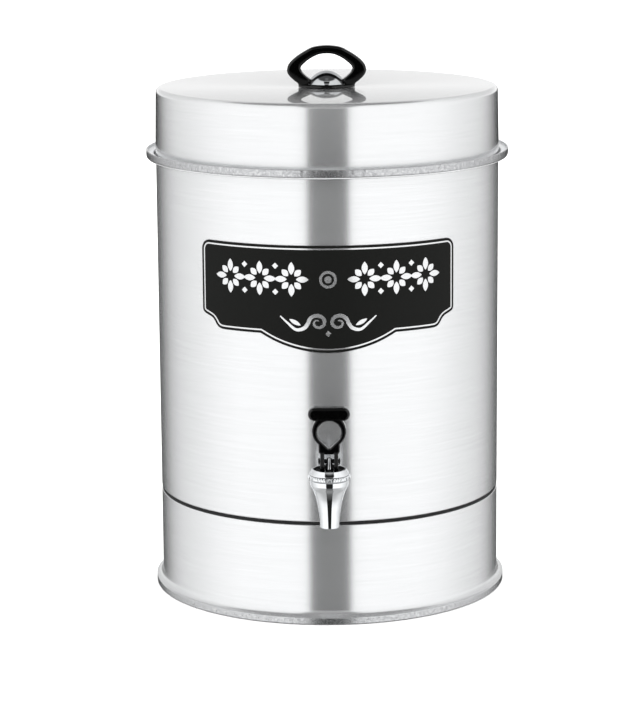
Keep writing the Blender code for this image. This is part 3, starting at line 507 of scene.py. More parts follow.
def patch(outline, v):
    # a small closed plate of the same thickness, its middle drawn from its outline
    middle = outline.mean(0)
    base, top = v["thick"] - 0.02, v["thick"] + v["raised"]
    rings = [(0, top), (0.5, top), (1, top), (1, base), (0.5, base), (0, base)]
    grid = np.stack([np.column_stack((middle + (outline - middle) * f, np.full(len(outline), h))) for f, h in rings])
    grid = wrap(grid, v["radius"])
    return grid.reshape(-1, 3), gridFaces(len(rings), len(outline), False, True)


def leafOutline(length, width, angle, centre, gap, steps=10):
    # a pointed leaf: two equal arcs from its foot, `gap` from the centre, to its tip
    t = np.linspace(0, 1, steps + 1)
    x = gap + t * (length - gap)
    y = width / 2 * np.sin(np.pi * t) ** 0.8
    leaf = np.concatenate((np.stack((x, -y), -1), np.stack((x, y), -1)[-2:0:-1]))
    c, s = math.cos(angle), math.sin(angle)
    return leaf @ np.array(((c, s), (-s, c))) + np.array(centre)


def ringOutline(radius, centre, steps=32):
    a = np.arange(steps) * 2 * np.pi / steps
    return np.array(centre) + radius * np.stack((np.cos(a), np.sin(a)), -1)


def strokeOutline(path, widths):
    # a pen stroke: the path's two sides at half the pen's width
    step = np.gradient(path, axis=0)
    step /= np.hypot(step[:, 0], step[:, 1])[:, None]
    side = np.stack((-step[:, 1], step[:, 0]), -1) * np.asarray(widths)[:, None] / 2
    return path + side, path - side


def strokeShell(path, widths, v):
    left, right = strokeOutline(path, widths)
    base, top = v["thick"] - 0.02, v["thick"] + v["raised"]
    rings = [np.column_stack((line, np.full(len(line), h))) for line, h in ((left, base), (left, top), (right, top), (right, base))]
    grid = wrap(np.stack(rings), v["radius"])
    return grid.reshape(-1, 3), gridFaces(4, len(path), True, False)


ornament = dict(row=257.6, groups=((-74.5, -50.5, -26.5), (26.5, 50.5, 74.5)), longLeaf=12.6, shortLeaf=9.8,
                leafWidth=4.5, foot=3.3, scrollRow=224.5)


def buildOrnaments(o, v):
    # generic rosettes of eight leaves, with small lozenges between them, and scrolls underneath
    shells = []
    for group in o["groups"]:
        for x in group:
            for k in range(8):
                length = o["longLeaf"] if k % 2 == 0 else o["shortLeaf"]
                shells.append(patch(leafOutline(length, o["leafWidth"], k * math.pi / 4, (x, o["row"]), o["foot"]), v))
        for x in (group[0] / 2 + group[1] / 2, group[1] / 2 + group[2] / 2):
            for up in (-1, 1):
                shells.append(patch(ringOutline(2.3, (x, o["row"] + up * 9.5), 4), v))
    shells.append(ribbon(ringOutline(6.4, (0, o["row"])), ringOutline(4.4, (0, o["row"])), v))
    shells.append(patch(ringOutline(2.6, (0, o["row"]), 24), v))
    for side in (-1, 1):
        # scroll: a spiral that unwinds from its eye into a long tail towards the side
        a = np.linspace(0, 1, 60)
        turn = np.pi * (2.6 - 2.6 * a)
        radius = 1.6 + 5.2 * a
        curl = np.stack((7.5 + radius * np.cos(turn), 1.5 + radius * np.sin(turn) * 0.9), -1)
        tail = smoothPath([curl[-1], (17.5, -2.5), (23.5, -3.6), (30.0, 1.5), (35.0, 6.0)], 14)
        path = np.vstack((curl[:-1], tail)) * (side, 1) + (0, o["scrollRow"])
        width = 0.7 + 2.1 * np.sin(np.pi * np.linspace(0.04, 0.97, len(path))) ** 1.2
        shells.append(strokeShell(path, width, v))
        shells.append(patch(leafOutline(10.5, 3.0, math.radians(90 - side * 62), (side * 19.0, o["scrollRow"] - 1.0), 1.0), v))
    shells.append(patch(ringOutline(2.2, (0, o["scrollRow"] - 6.5), 4), v))
    addPiece("labelOrnaments", joinShells(shells), [labelSteel], "tank_and_stand", sharp=60)


# The print leaves the tank's own steel bare in lines and ornaments, so they shine and darken as the wall does.
labelSteel = brushedSteel("stainless304UnderPrint", "#d8d9da", "#d2d3d4", 0.23, 0.005, 0.45, 70)
outline = buildLabel(label)
closed = np.vstack((outline, outline[:1]))
outline = evenPath(closed, 901)[:-1]
border = inset(outline, label["inset"]), inset(outline, label["inset"] + label["line"])
addPiece("labelBorder", ribbon(*border, label), [labelSteel], "tank_and_stand", sharp=60)
buildOrnaments(ornament, label)
print("label built")


lid = dict(sheet=0.8, bottom=332.0, top=384.3, centre=382.7, topRadius=129.3, rimRadius=130.4, fillet=3.8, seat=23.7, hole=2.7, steps=256)


def buildLid(v):
    # section: flat seat, shallow dish, fillet and skirt, then back up inside
    s = v["sheet"]
    section = roundCorners([
        (v["hole"], v["centre"], 0), (v["seat"], v["centre"], 30.0), (v["topRadius"], v["top"], v["fillet"]),
        (v["rimRadius"], v["bottom"], 0.3), (v["rimRadius"] - s, v["bottom"], 0.3),
        (v["topRadius"] - s, v["top"] - s, v["fillet"] - s), (v["seat"], v["centre"] - s, 28.0), (v["hole"], v["centre"] - s, 0)], 10)
    addPiece("lidShell", turned(section, v["steps"]), [lidSteel], "lid", ["lid_shell"])


knob = dict(width=59.8, height=31.4, depth=10.0, edge=1.8, foot=383.0, footWidth=43.0, footDepth=27.0, footHeight=2.2,
            footEdge=0.8, boss=5.0, bossHeight=5.2, sections=120)
knobOuter = ((0.000, 1.000), (0.330, 0.965), (0.545, 0.868), (0.735, 0.755), (0.880, 0.640), (0.967, 0.535),
             (1.000, 0.440), (0.985, 0.345), (0.920, 0.252), (0.812, 0.157), (0.735, 0.100), (0.700, 0.035))
knobInner = ((0.000, 0.806), (0.195, 0.785), (0.390, 0.700), (0.540, 0.595), (0.628, 0.510), (0.650, 0.440),
             (0.617, 0.362), (0.520, 0.270), (0.408, 0.178), (0.440, 0.100), (0.475, 0.035))


def railSections(outer, inner, half, edge, steps=7):
    # section (i, j): a rounded rectangle of depth 2 half between rail points outer[i] and inner[i]
    middle, wide = (outer + inner) / 2, np.linalg.norm(outer - inner, axis=1)[:, None]
    across = (outer - inner) / wide
    r = np.minimum(edge, wide / 2 * 0.96)
    a = np.linspace(0, np.pi / 2, steps + 1)
    turn = np.concatenate([a + k * np.pi / 2 for k in range(4)])[None, :]
    signA = np.repeat((1, -1, -1, 1), steps + 1)[None, :]
    signB = np.repeat((1, 1, -1, -1), steps + 1)[None, :]
    u = signA * (wide / 2 - r) + r * np.cos(turn)
    w = signB * (half - r) + r * np.sin(turn)
    x = middle[:, :1] + across[:, :1] * u
    z = middle[:, 1:] + across[:, 1:] * u
    rings = np.stack((x, w, z), -1)
    ends = [np.broadcast_to(rings[k].mean(0), rings[:1].shape) for k in (0, -1)]
    rings = np.concatenate((ends[0], rings, ends[1]))
    return rings.reshape(-1, 3), gridFaces(len(rings), rings.shape[1], False, True)


def buildKnob(v):
    mirrored = [np.vstack((np.array(shares[1:][::-1]) * (-1, 1), shares)) for shares in (knobOuter, knobInner)]
    rails = [evenPath(smoothPath(m, 10) * (v["width"] / 2, v["height"]), 2 * v["sections"] + 1) for m in mirrored]
    loop = railSections(rails[0], rails[1], v["depth"] / 2, v["edge"])
    shells = [(loop[0] + (0, axisY, v["foot"]), loop[1])]
    # foot: a turned disc stretched to an oval, with a rounded top edge and a shallow step near it
    h, e = v["footHeight"], v["footEdge"]
    section = roundCorners([(0, h, 0), (11.9, h, 0.3), (12.1, h - 0.25, 0.2), (v["footDepth"] / 2, h - 0.25, e), (v["footDepth"] / 2, 0, 0.3), (0, 0, 0)])
    shells.append(turned(section, 96, closed=False, stretch=v["footWidth"] / v["footDepth"], centre=(0, axisY, v["foot"])))
    boss = roundCorners([(0, h + v["bossHeight"], 0), (v["boss"], h + v["bossHeight"], 0.5), (v["boss"], 1.0, 0), (0, 1.0, 0)])
    shells.append(turned(boss, 48, closed=False, centre=(0, axisY, v["foot"])))
    addPiece("knobLoop", joinShells(shells), [blackPhenolic], "lid", ["knob_loop"])


dome = dict(radius=13.7, height=9.8, bottom=385.5, sheet=0.8)
domeShares = ((1.000, 0.000), (0.992, 0.080), (0.940, 0.260), (0.850, 0.440), (0.720, 0.610), (0.580, 0.750), (0.420, 0.870), (0.220, 0.965), (0.000, 1.000))


def buildDome(v):
    line = smoothPath(domeShares, 6)[::-1]
    outer = line * (v["radius"], v["height"]) + (0, v["bottom"])
    innerLine = line[::-1] * (v["radius"] - v["sheet"], v["height"] - v["sheet"]) + (0, v["bottom"])
    section = np.vstack((outer, innerLine))
    section[0, 0] = section[-1, 0] = 0
    addPiece("knobDome", turned(section, 96, closed=False), [domeSteel], "lid", ["knob_dome"])


buildLid(lid)
buildKnob(knob)
buildDome(dome)
print("lid and knob built")


basket = dict(radius=108.0, sheet=0.7, top=351.3, floor=181.3, rimOuter=127.7, collar=108.3, collarDrop=12.0, panRim=9.0,
              pitch=5.0, hole=1.35, holesLow=194.5, holesHigh=336.0)


def buildBasket(v):
    # sieve: staggered hexagon cells, each a ring between the cell's edge and its round hole, on both faces
    around = round(2 * math.pi * v["radius"] / v["pitch"])
    pitch = 2 * math.pi * v["radius"] / around
    rise = pitch * math.sqrt(3) / 2
    rows = int((v["holesHigh"] - v["holesLow"]) / rise)
    row, column = np.meshgrid(np.arange(rows), np.arange(around), indexing="ij")
    centre = np.stack(((column + 0.5 * (row % 2)) * pitch, v["holesLow"] + row * rise), -1).reshape(-1, 1, 2)
    a = np.radians(30 + 60 * np.arange(6))
    spoke = np.stack((np.cos(a), np.sin(a)), -1)[None]
    cell, hole = centre + spoke * pitch / math.sqrt(3), centre + spoke * v["hole"]

    def bend(flat, radius):
        angle = flat[..., 0] / v["radius"]
        return np.stack((radius * np.sin(angle), axisY - radius * np.cos(angle), flat[..., 1]), -1)

    outer, inner = v["radius"], v["radius"] - v["sheet"]
    rings = np.stack((bend(cell, outer), bend(hole, outer), bend(hole, inner), bend(cell, inner)), 1)
    base = np.arange(len(rings))[:, None] * 24
    faces = base[:, :, None] + gridFaces(4, 6, False, True)[None]
    shells = [(rings.reshape(-1, 3), faces.reshape(-1, 4))]
    low, high = v["holesLow"] + pitch * 0.2, v["holesLow"] + (rows - 1) * rise - pitch * 0.2
    for bottom, top in ((v["floor"] + 0.8, low), (high, v["top"] - 0.4)):
        band = roundCorners([(inner - 0.03, top, 0), (inner - 0.03, bottom, 0), (outer + 0.03, bottom, 0), (outer + 0.03, top, 0)])
        shells.append(turned(band, 136))
    addPiece("basketWall", joinShells(shells), [innerSteel], "filter_basket", ["basket_wall"])

    rim = roundCorners([(v["rimOuter"], v["top"], 0.3), (v["rimOuter"], v["top"] - v["sheet"], 0.3), (v["collar"] + v["sheet"], v["top"] - v["sheet"], 1.2),
                        (v["collar"] + v["sheet"], v["top"] - v["collarDrop"], 0.2), (v["collar"], v["top"] - v["collarDrop"], 0.2), (v["collar"], v["top"], 1.6)])
    addPiece("basketRim", turned(rim, 192), [tankSteel], "filter_basket", ["basket_rim"])

    # pan: a flat floor with two raised stiffening rings and a rolled-up edge outside the sieve
    up, f = v["collar"], v["floor"]
    pan = roundCorners([(0, f + 0.7, 0), (40, f + 0.7, 2), (43, f + 1.9, 2), (49, f + 1.9, 2), (52, f + 0.7, 2), (80, f + 0.7, 2), (83, f + 1.9, 2),
                        (89, f + 1.9, 2), (92, f + 0.7, 2), (up, f + 0.7, 0), (up, f + v["panRim"], 0.2),
                        (up + v["sheet"], f + v["panRim"], 0.2), (up + v["sheet"], f, 2.5), (92, f, 2), (89, f + 1.2, 2), (83, f + 1.2, 2), (80, f, 2),
                        (52, f, 2), (49, f + 1.2, 2), (43, f + 1.2, 2), (40, f, 2), (0, f, 0)], 5)
    addPiece("basketFloor", turned(pan, 160, closed=False), [innerSteel], "filter_basket", ["basket_floor"])

    # bail: drawn wire up from its two riveted ears and over in a half ellipse
    span, rise = 108 - 0.7 - 0.3 - 2.0, 19.0
    a = np.linspace(np.pi, 0, 97)
    arch = np.stack((span * np.cos(a), np.zeros(97), v["top"] + rise * np.sin(a)), -1)
    legs = [np.array([[side * span, 0, v["top"] - d] for d in (12, 9, 6, 3)], float) for side in (-1, 1)]
    path = np.vstack((legs[0], arch, legs[1][::-1])) + (0, axisY, 0)
    addPiece("basketBail", tube(path, 2.0, 20, (0, 1, 0)), [wireSteel], "filter_basket", ["basket_bail"])


buildBasket(basket)
print("basket built")


tap = dict(y=axisY - 162.0, port=110.4, top=117.6, band=3.5, bodyRadius=13.9, spoutRadius=6.7, spoutBottom=81.9, bore=4.2,
           seat=106.4, chamber=9.0, socket=11.2, socketFloor=114.4, shank=7.8, neck=5.8, shankBore=3.6, teeth=46)
spoutShares = ((0.00, 0.00), (0.06, 0.11), (0.15, 0.32), (0.36, 0.62), (0.60, 0.83), (0.84, 0.94), (0.96, 0.985))


def easeFront(r, h, angle):
    # r less 0.5 exp(-(angle / 0.42)^2) for the outer faces: cast fronts are a touch flatter than a circle
    away = np.minimum(angle, 2 * np.pi - angle) + 0 * r
    return -0.5 * np.exp(-(away / 0.42) ** 2) * np.clip((r - 5.6) / 4, 0, 1) * (r > 11.9 - np.clip(tap["top"] - h, 0, 6)), 0 * h


def buildTapBody(v):
    bandBottom = v["top"] - v["band"]
    share = smoothPath(spoutShares, 8)
    spout = np.stack((v["bodyRadius"] - (v["bodyRadius"] - v["spoutRadius"]) * share[:, 1],
                      bandBottom - (bandBottom - v["spoutBottom"]) * share[:, 0]), -1)
    last = spout[-1]
    mouthEdge = roundCorners([(last[0], last[1], 0), (last[0] - 0.1, v["spoutBottom"], 0.7), (v["bore"], v["spoutBottom"], 0.5), (v["bore"], v["seat"], 0.4),
                              (v["chamber"], v["seat"], 0.5), (v["chamber"], v["socketFloor"], 0), (v["socket"], v["socketFloor"], 0.2),
                              (v["socket"], v["top"], 0.3), (v["bodyRadius"], v["top"], 0.5), (v["bodyRadius"], bandBottom, 0)])
    section = np.vstack((spout[1:-1], mouthEdge))
    shells = [turned(section, 192, easeFront, centre=(0, v["y"], 0))]
    # shank: neck, flange and thread, with its bore open at the tank's end
    thread = np.arange(31.9, 43.6, 0.375)
    wave = np.stack((v["shank"] - 0.32 * (np.arange(len(thread)) % 4 >= 2), thread), -1)
    line = roundCorners([(v["shankBore"], 10.2, 0), (v["neck"], 10.2, 0), (v["neck"], 26.4, 0), (12.5, 26.4, 0.6), (12.5, 29.4, 0.4), (v["shank"], 29.4, 0)])
    end = np.array(((v["shank"] - 0.4, 44.1), (v["shankBore"], 44.1)))
    section = np.vstack((line, wave, end))
    shells.append(turned(section, 64, centre=(0, v["y"], v["port"]), along="y"))
    addPiece("tapBody", joinShells(shells), [chromeBrass], "tank_and_stand", ["tap_body"])


def buildTapLiner(v):
    # a thin black cup pressed into the bonnet, on which the lever's cams slide
    low = v["top"] + 5.6
    cup = roundCorners([(3.3, low + 0.22, 0), (11.2, low + 0.22, 0.4), (11.2, low + 2.25, 0.08), (11.38, low + 2.25, 0.08), (11.38, low + 0.01, 0.3), (3.3, low + 0.01, 0)])
    addPiece("bonnetLiner", turned(cup, 96, centre=(0, v["y"], 0)), [blackRubber], "tank_and_stand")


def buildTapRings(v):
    # collar: coin-edge milling, 54 teeth cut into its middle
    top = v["top"]
    collar = roundCorners([(11.2, top + 3.7, 0), (14.3, top + 3.7, 0.2), (15.3, top + 2.75, 0.3), (15.3, top + 1.25, 0.3), (14.3, top + 0.3, 0.2), (11.2, top + 0.3, 0)], 3)
    collar = np.insert(collar, 9, [[15.3, top + 2.0]], axis=0)

    def mill(r, h, angle):
        cut = np.clip((r - 14.2) / 0.5, 0, 1) * np.clip(2.0 - np.abs(h - top - 2.0), 0, 1)
        return -0.6 * cut * np.clip(np.cos(angle * v["teeth"]) * 1.3 + 0.3, 0, 1), 0 * h

    addPiece("tapCollar", turned(collar, 432, mill, centre=(0, v["y"], 0)), [chromeBrass], "tank_and_stand", ["tap_collar"])

    # bonnet: a low cone with a soft shoulder, a thin lip and the dark recess that the lever's cams work in
    bonnet = roundCorners([(11.4, top + 8.0, 0.3), (12.4, top + 8.0, 0.35), (14.1, top + 5.1, 2.5), (14.7, top + 4.0, 0.3), (10.9, top + 4.0, 0), (10.9, top - 2.9, 0),
                           (9.0, top - 2.9, 0), (9.0, top + 3.8, 0), (3.15, top + 3.8, 0), (3.15, top + 5.6, 0.2), (11.4, top + 5.6, 0.5)], 5)
    addPiece("tapBonnet", turned(bonnet, 192, easeFront, centre=(0, v["y"], 0)), [chromeBrass], "tank_and_stand", ["tap_bonnet"])

    for name, node, low in (("tapWasherOuter", "tap_washer_outer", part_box("tap_washer_outer")[0].y / mm),
                            ("tapWasherInner", "tap_washer_inner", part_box("tap_washer_inner")[0].y / mm)):
        ring = roundCorners([(8.1, 0, 0.2), (12.5, 0, 0.6), (12.5, 2.0, 0.6), (8.1, 2.0, 0.2)], 4) + (0, low)
        addPiece(name, turned(ring, 64, centre=(0, 0, v["port"]), along="y"), [blackRubber], "tank_and_stand", [node])

    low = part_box("tap_nut")[0].y / mm
    corners = roundCorners([(12.7 * math.cos(math.radians(60 * k)), 12.7 * math.sin(math.radians(60 * k)), 0.8) for k in range(6)], 5)
    hexagon = evenPath(np.vstack((corners, corners[:1])), 97)[:-1]
    a = np.arctan2(hexagon[:, 1], hexagon[:, 0])
    circle = 8.1 * np.stack((np.cos(a), np.sin(a)), -1)
    addPiece("tapNut", place(framePlate(hexagon, circle, 3.0, 0.6), standing, (0, low + 3.0, v["port"])), [chromeBrass], "tank_and_stand", ["tap_nut"])


stemSizes = dict(radius=2.85, top=133.8, pin=131.0, low=108.2, pinRadius=1.5, head=2.2, headFrom=6.75, pinHalf=8.0)


def buildStem(v, t):
    line = roundCorners([(0, v["top"], 0), (1.7, v["top"], 1.1), (v["radius"], v["top"] - 8.5, 3.0), (v["radius"], v["low"], 0.3), (0, v["low"], 0)], 10)

    def flatten(r, h, angle):
        # r less 0.1 exp(-(angle / 0.42)^2): the same gentler front
        away = np.minimum(angle, 2 * np.pi - angle) + 0 * r
        return -0.1 * np.exp(-(away / 0.42) ** 2) * (r > 1), 0 * h

    addPiece("tapStem", turned(line, 96, flatten, closed=False, centre=(0, t["y"], 0)), [chromeBrass], "stem", ["tap_stem"])
    p = roundCorners([(0, -v["pinHalf"], 0), (v["head"], -v["pinHalf"], 0.8), (v["head"], -v["headFrom"], 0.1), (v["pinRadius"], -v["headFrom"], 0),
                      (v["pinRadius"], v["headFrom"], 0), (v["head"], v["headFrom"], 0.1), (v["head"], v["pinHalf"], 0.8), (0, v["pinHalf"], 0)], 6)
    # the pin takes the dark finish, a painted dark reflection on its heads
    addPiece("tapPin", turned(p, 40, closed=False, centre=(0, t["y"], v["pin"]), along="x"), [darkSteel], "stem", ["tap_pin"])


spring = dict(wire=0.6, turns=5.5, flatTurns=1.0, lift=2.2)


def buildSpring(v, t):
    # coil: a wire circle carried up a helix that lies flat for one turn at each end
    low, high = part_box("tap_spring")
    radius = (high.x - low.x) / 2 / mm - v["wire"]
    bottom, top = low.z / mm + v["wire"], high.z / mm - v["wire"]
    along = np.linspace(0, v["turns"], 241)
    rise = np.clip((along - v["flatTurns"]) / (v["turns"] - 2 * v["flatTurns"]), 0, 1)
    turn = along * 2 * np.pi
    side = np.arange(12) * 2 * np.pi / 12
    size = np.where((along == 0) | (along == along[-1]), 0.0, v["wire"])[:, None]
    r = radius + size * np.cos(side)
    z = (bottom + (top - bottom) * rise)[:, None] + size * np.sin(side)
    shell = np.stack((r * np.sin(turn)[:, None], t["y"] - r * np.cos(turn)[:, None], z), -1)
    piece = addPiece("tapSpring", (shell.reshape(-1, 3), gridFaces(len(along), 12, False, True)), [zincSteel], "stem", ["tap_spring"])
    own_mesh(piece)


lever = dict(loopCentre=22.6, loopRadius=12.2, holeCentre=21.4, holeRadius=8.7, holeTip=12.2, yokeHalf=7.65, yokeBottom=5.6, chamfer=1.8,
             depth=7.5, edge=0.9, legInner=3.5, legOuter=6.45, heel=7.5, heelOffset=2.5, bar=34.95, barHalf=15.05, barHeight=9.5, barDepth=9.0, barEdge=1.7)


def buildLever(v, t, pin):
    # head: ring and yoke as one frame; the outline and the hole are paired by their angle about the loop
    low = math.acos(v["yokeHalf"] / v["loopRadius"])
    a = np.linspace(-low, math.pi + low, 81)
    ring = np.stack((v["loopRadius"] * np.cos(a), v["loopCentre"] + v["loopRadius"] * np.sin(a)), -1)
    foot = v["yokeBottom"]
    legs = roundCorners([(-v["yokeHalf"], ring[-1][1] - 2.2, 0), (-v["yokeHalf"], foot + v["chamfer"], 0.6), (-v["legOuter"], foot, 0.4),
                         (v["legOuter"], foot, 0.4), (v["yokeHalf"], foot + v["chamfer"], 0.6), (v["yokeHalf"], ring[0][1] - 2.2, 0)], 4)
    outer = evenPath(np.vstack((ring, legs, ring[:1])), 241)[:-1]
    tilt = math.acos(v["holeRadius"] / v["holeTip"])
    a = np.linspace(-math.pi / 2 + tilt, 3 * math.pi / 2 - tilt, 81)
    hole = np.stack((v["holeRadius"] * np.cos(a), v["holeCentre"] + v["holeRadius"] * np.sin(a)), -1)
    tip = np.array((0.0, v["holeCentre"] - v["holeTip"]))
    hole = np.vstack((hole, hole[-1] * 0.12 + tip * 0.88, tip + (0, 0.35), hole[0] * 0.12 + tip * 0.88, hole[:1]))
    hole = evenPath(smoothPath(evenPath(hole, 121)[:-1], 3, closed=True), 721)[:-1]
    angleOuter = np.unwrap(np.arctan2(outer[:, 1] - v["holeCentre"], outer[:, 0]))
    angleHole = np.unwrap(np.arctan2(hole[:, 1] - v["holeCentre"], hole[:, 0]))
    angleHole += round((angleOuter[0] - angleHole[0]) / (2 * math.pi)) * 2 * math.pi
    order = np.concatenate((angleHole - 2 * math.pi, angleHole, angleHole + 2 * math.pi))
    inner = np.stack([np.interp(angleOuter, order, np.tile(hole[:, k], 3)) for k in (0, 1)], -1)
    centre = (0, t["y"], pin)
    shells = [place(framePlate(outer, inner, v["depth"] / 2, v["edge"]), standing, centre)]
    # finger bar: a rounded capsule across the top
    end = v["barHeight"] / 2
    a = np.linspace(-math.pi / 2, math.pi / 2, 17)
    right = np.stack((v["barHalf"] - end + end * np.cos(a), end * np.sin(a)), -1)
    bar = evenPath(np.vstack((right, -right, right[:1])), 97)[:-1] + (0, v["bar"])
    shells.append(place(plate(bar, v["barDepth"] / 2, v["barEdge"], 6), standing, centre))
    # legs: upright plates whose round heels press on the bonnet's floor
    quarter = low / 4
    a = np.linspace(-math.pi + quarter, quarter, 41)
    heel = np.stack((-v["heelOffset"] + v["heel"] * np.cos(a), v["heel"] * np.sin(a)), -1)
    top = foot + v["chamfer"]
    leg = evenPath(np.vstack((heel, (v["depth"] / 2, top), (-v["depth"] / 2, top), heel[:1])), 97)[:-1]
    half = (v["legOuter"] - v["legInner"]) / 2
    for side in (-1, 1):
        x = side * (v["legOuter"] + v["legInner"]) / 2
        shells.append(place(plate(leg, half, 0.5, 3), ((0, 0, 1), (1, 0, 0), (0, 1, 0)), (x, t["y"], pin)))
    addPiece("tapLever", joinShells(shells), [blackPhenolic], "lever", ["tap_lever"])


buildTapBody(tap)
buildTapRings(tap)
buildTapLiner(tap)
buildStem(stemSizes, tap)
buildSpring(spring, tap)
buildLever(lever, tap, stemSizes["pin"])
print("tap built")


finishes = {innerSteel: ("base_shelf", "tank_foot"), milkySilicone: ("tap_seat_cup",),
            zincSteel: ("knob_screw", "knob_washer") + tuple(f"{n}_{k}" for n in ("base_screw", "weld_nut") for k in range(1, 5))}
for material, names in finishes.items():
    for name in names:
        data = nodes[name].data
        data.materials.clear()
        data.materials.append(material)


# Light by direction, as a round studio gives it. low, middle, high and soft: (degrees from the front, how
# bright); gap: (height -1 to 1, how bright) of the dark slot between the two front softboxes.
studio = dict(
    low=((0, 1.46), (30, 1.47), (62, 1.45), (80, 1.33), (95, 1.17), (109, 1.03), (121, 0.90), (134, 0.60), (141, 0.38), (146, 0.25),
         (151, 0.13), (157, 0.05), (165, 0.02), (180, 0.02)),
    middle=((0, 1.46), (80, 1.40), (125, 1.13), (180, 1.02)),
    high=((0, 1.40), (80, 1.30), (125, 0.9), (180, 0.72)),
    gap=((-1, 0.32), (-0.93, 0.32), (-0.72, 0.02), (0.06, 0.02), (0.18, 0.55), (0.46, 0.55), (0.58, 0.02), (1, 0.02)),
    soft=((0, 2.3), (60, 2.1), (110, 0.9), (180, 0.5)), softTop=2.4,
    gapCentre=0.006, gapHalf=0.232, gapSoft=0.018, gapTopHalf=0.05, gapLowHalf=-0.05, ceiling=0.12, panel=0.24, ground=0.62, full=2.6)
view = dict(place=(0.0, -2.07787, 0.60182), yaw=-0.159, pitch=11.55, roll=-0.428, lens=139.3)


def rampNode(tree, source, stops, full):
    # tones at places from 0 to 1 along the source
    ramp = addNode(tree, "ShaderNodeValToRGB", {0: source})
    ends = ramp.color_ramp.elements
    while len(ends) < len(stops):
        ends.new(0.5)
    for element, (at, tone) in zip(ends, stops):
        element.position = at
        element.color = (tone / full,) * 3 + (1,)
    return ramp.outputs[0]


def paintLayers(tree, base, layers):
    # each layer covers the ones before it by the product of its smooth steps (source, start, end, before, after)
    for steps, tone in layers:
        share = 1.0
        for source, start, end, before, after in steps:
            step = addNode(tree, "ShaderNodeMapRange", {0: source, 1: start, 2: end, 3: before, 4: after}, interpolation_type="SMOOTHSTEP")
            share = addNode(tree, "ShaderNodeMath", {0: share, 1: step.outputs[0]}, operation="MULTIPLY").outputs[0]
        base = addNode(tree, "ShaderNodeMix", {0: share, 6: base, 7: tone}, data_type="RGBA").outputs[2]
    return base


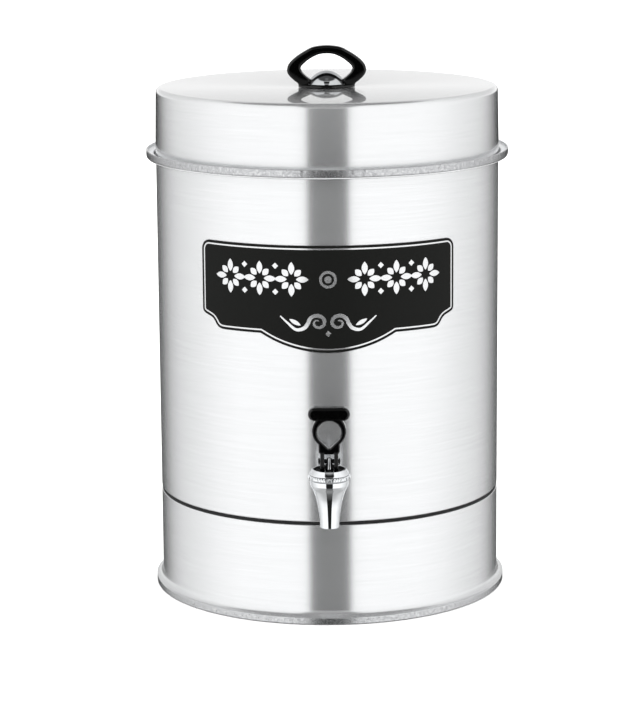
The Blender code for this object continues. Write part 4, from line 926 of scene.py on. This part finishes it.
def buildStudio(s):
    world = bpy.data.worlds.new("softStudio")
    bpy.context.scene.world = world
    world.use_nodes = True
    tree = world.node_tree
    tree.nodes.clear()
    full = s["full"]
    coords = addNode(tree, "ShaderNodeTexCoord")
    split = addNode(tree, "ShaderNodeSeparateXYZ", {0: coords.outputs["Generated"]})
    rise = split.outputs[2]
    front = addNode(tree, "ShaderNodeMath", {0: split.outputs[1], 1: -1.0}, operation="MULTIPLY").outputs[0]
    turn = addNode(tree, "ShaderNodeMath", {0: split.outputs[0], 1: front}, operation="ARCTAN2")
    turn = addNode(tree, "ShaderNodeMath", {0: turn.outputs[0]}, operation="ABSOLUTE")
    turn = addNode(tree, "ShaderNodeMath", {0: turn.outputs[0], 1: math.pi}, operation="DIVIDE").outputs[0]
    side = addNode(tree, "ShaderNodeMath", {0: split.outputs[0], 1: s["gapCentre"]}, operation="SUBTRACT")
    side = addNode(tree, "ShaderNodeMath", {0: side.outputs[0]}, operation="ABSOLUTE").outputs[0]
    edge = side  # the slot widens above and narrows below
    for start, end, before, after in ((0.3, 0.7, 0.0, s["gapTopHalf"]), (-0.68, -0.38, s["gapLowHalf"], 0.0)):
        step = addNode(tree, "ShaderNodeMapRange", {0: rise, 1: start, 2: end, 3: before, 4: after}, interpolation_type="SMOOTHSTEP")
        edge = addNode(tree, "ShaderNodeMath", {0: edge, 1: step.outputs[0]}, operation="SUBTRACT").outputs[0]
    height = addNode(tree, "ShaderNodeMapRange", {0: rise, 1: -1.0, 2: 1.0, 3: 0.0, 4: 1.0}).outputs[0]
    low, middle, high, soft = (rampNode(tree, turn, [(angle / 180, tone) for angle, tone in s[key]], full) for key in ("low", "middle", "high", "soft"))
    slot = rampNode(tree, height, [(up / 2 + 0.5, tone) for up, tone in s["gap"]], full)
    ceiling, panel, ground, softTop = ((s[key] / full,) * 3 + (1,) for key in ("ceiling", "panel", "ground", "softTop"))
    room = paintLayers(tree, low, (
        (((rise, -0.06, 0.04, 0.0, 1.0),), middle),
        (((rise, 0.05, 0.26, 0.0, 1.0),), high),
        (((rise, 0.76, 0.87, 0.0, 1.0),), ceiling),
        (((rise, -0.82, -0.5, 1.0, 0.0),), ground),
        (((rise, 0.84, 0.9, 0.0, 1.0), (side, 0.07, 0.17, 1.0, 0.0), (front, -0.02, 0.1, 0.0, 1.0)), panel),
        (((edge, s["gapHalf"] - s["gapSoft"], s["gapHalf"] + s["gapSoft"], 1.0, 0.0), (front, 0.02, 0.06, 0.0, 1.0), (rise, 0.74, 0.84, 1.0, 0.0)), slot)))
    scattered = paintLayers(tree, soft, ((((rise, 0.3, 0.65, 0.0, 1.0),), softTop),))
    path = addNode(tree, "ShaderNodeLightPath")
    lights = [addNode(tree, "ShaderNodeBackground", {"Color": tone, "Strength": strength}).outputs[0]
              for tone, strength in ((room, full), (scattered, full), ((1, 1, 1, 1), 1.0))]
    either = addNode(tree, "ShaderNodeMixShader", {0: path.outputs["Is Diffuse Ray"], 1: lights[0], 2: lights[1]})
    either = addNode(tree, "ShaderNodeMixShader", {0: path.outputs["Is Camera Ray"], 1: either.outputs[0], 2: lights[2]})
    addNode(tree, "ShaderNodeOutputWorld", {0: either.outputs[0]})

    # floor: one large pale sheet; matt paper white
    side = 8000.0
    corners = np.array([(-side, -side, 0), (side, -side, 0), (side, side, 0), (-side, side, 0)], float) * mm
    mesh = bpy.data.meshes.new("paleFloor")
    mesh.from_pydata(corners.tolist(), [], [(0, 1, 2, 3)])
    floor = bpy.data.objects.new("paleFloor", mesh)
    bpy.context.scene.collection.objects.link(floor)
    mesh.materials.append(mottled("paperMattWhite", "#f4f4f4", "#f1f1f1", 0.0, 0.9, 0.02, 40, bump=0.0, Specular_IOR_Level=0.0))
    floor.visible_glossy = False
    bpy.context.scene.view_settings.view_transform = "Standard"


def buildCamera(v):
    yaw, pitch, roll = (math.radians(v[k]) for k in ("yaw", "pitch", "roll"))
    forward = Vector((math.sin(yaw) * math.cos(pitch), math.cos(yaw) * math.cos(pitch), -math.sin(pitch)))
    right = Vector((math.cos(yaw), -math.sin(yaw), 0))
    up = right.cross(forward)
    rolledRight, rolledUp = right * math.cos(roll) + up * math.sin(roll), up * math.cos(roll) - right * math.sin(roll)
    data = bpy.data.cameras.new("photoView")
    data.lens, data.sensor_width = v["lens"], 36
    data.clip_start, data.clip_end = 0.05, 60
    camera = bpy.data.objects.new("photoView", data)
    turn = Matrix((rolledRight, rolledUp, -forward)).transposed().to_4x4()
    turn.translation = v["place"]
    camera.matrix_world = turn
    bpy.context.scene.collection.objects.link(camera)
    bpy.context.scene.camera = camera


buildStudio(studio)
buildCamera(view)
print("studio ready")
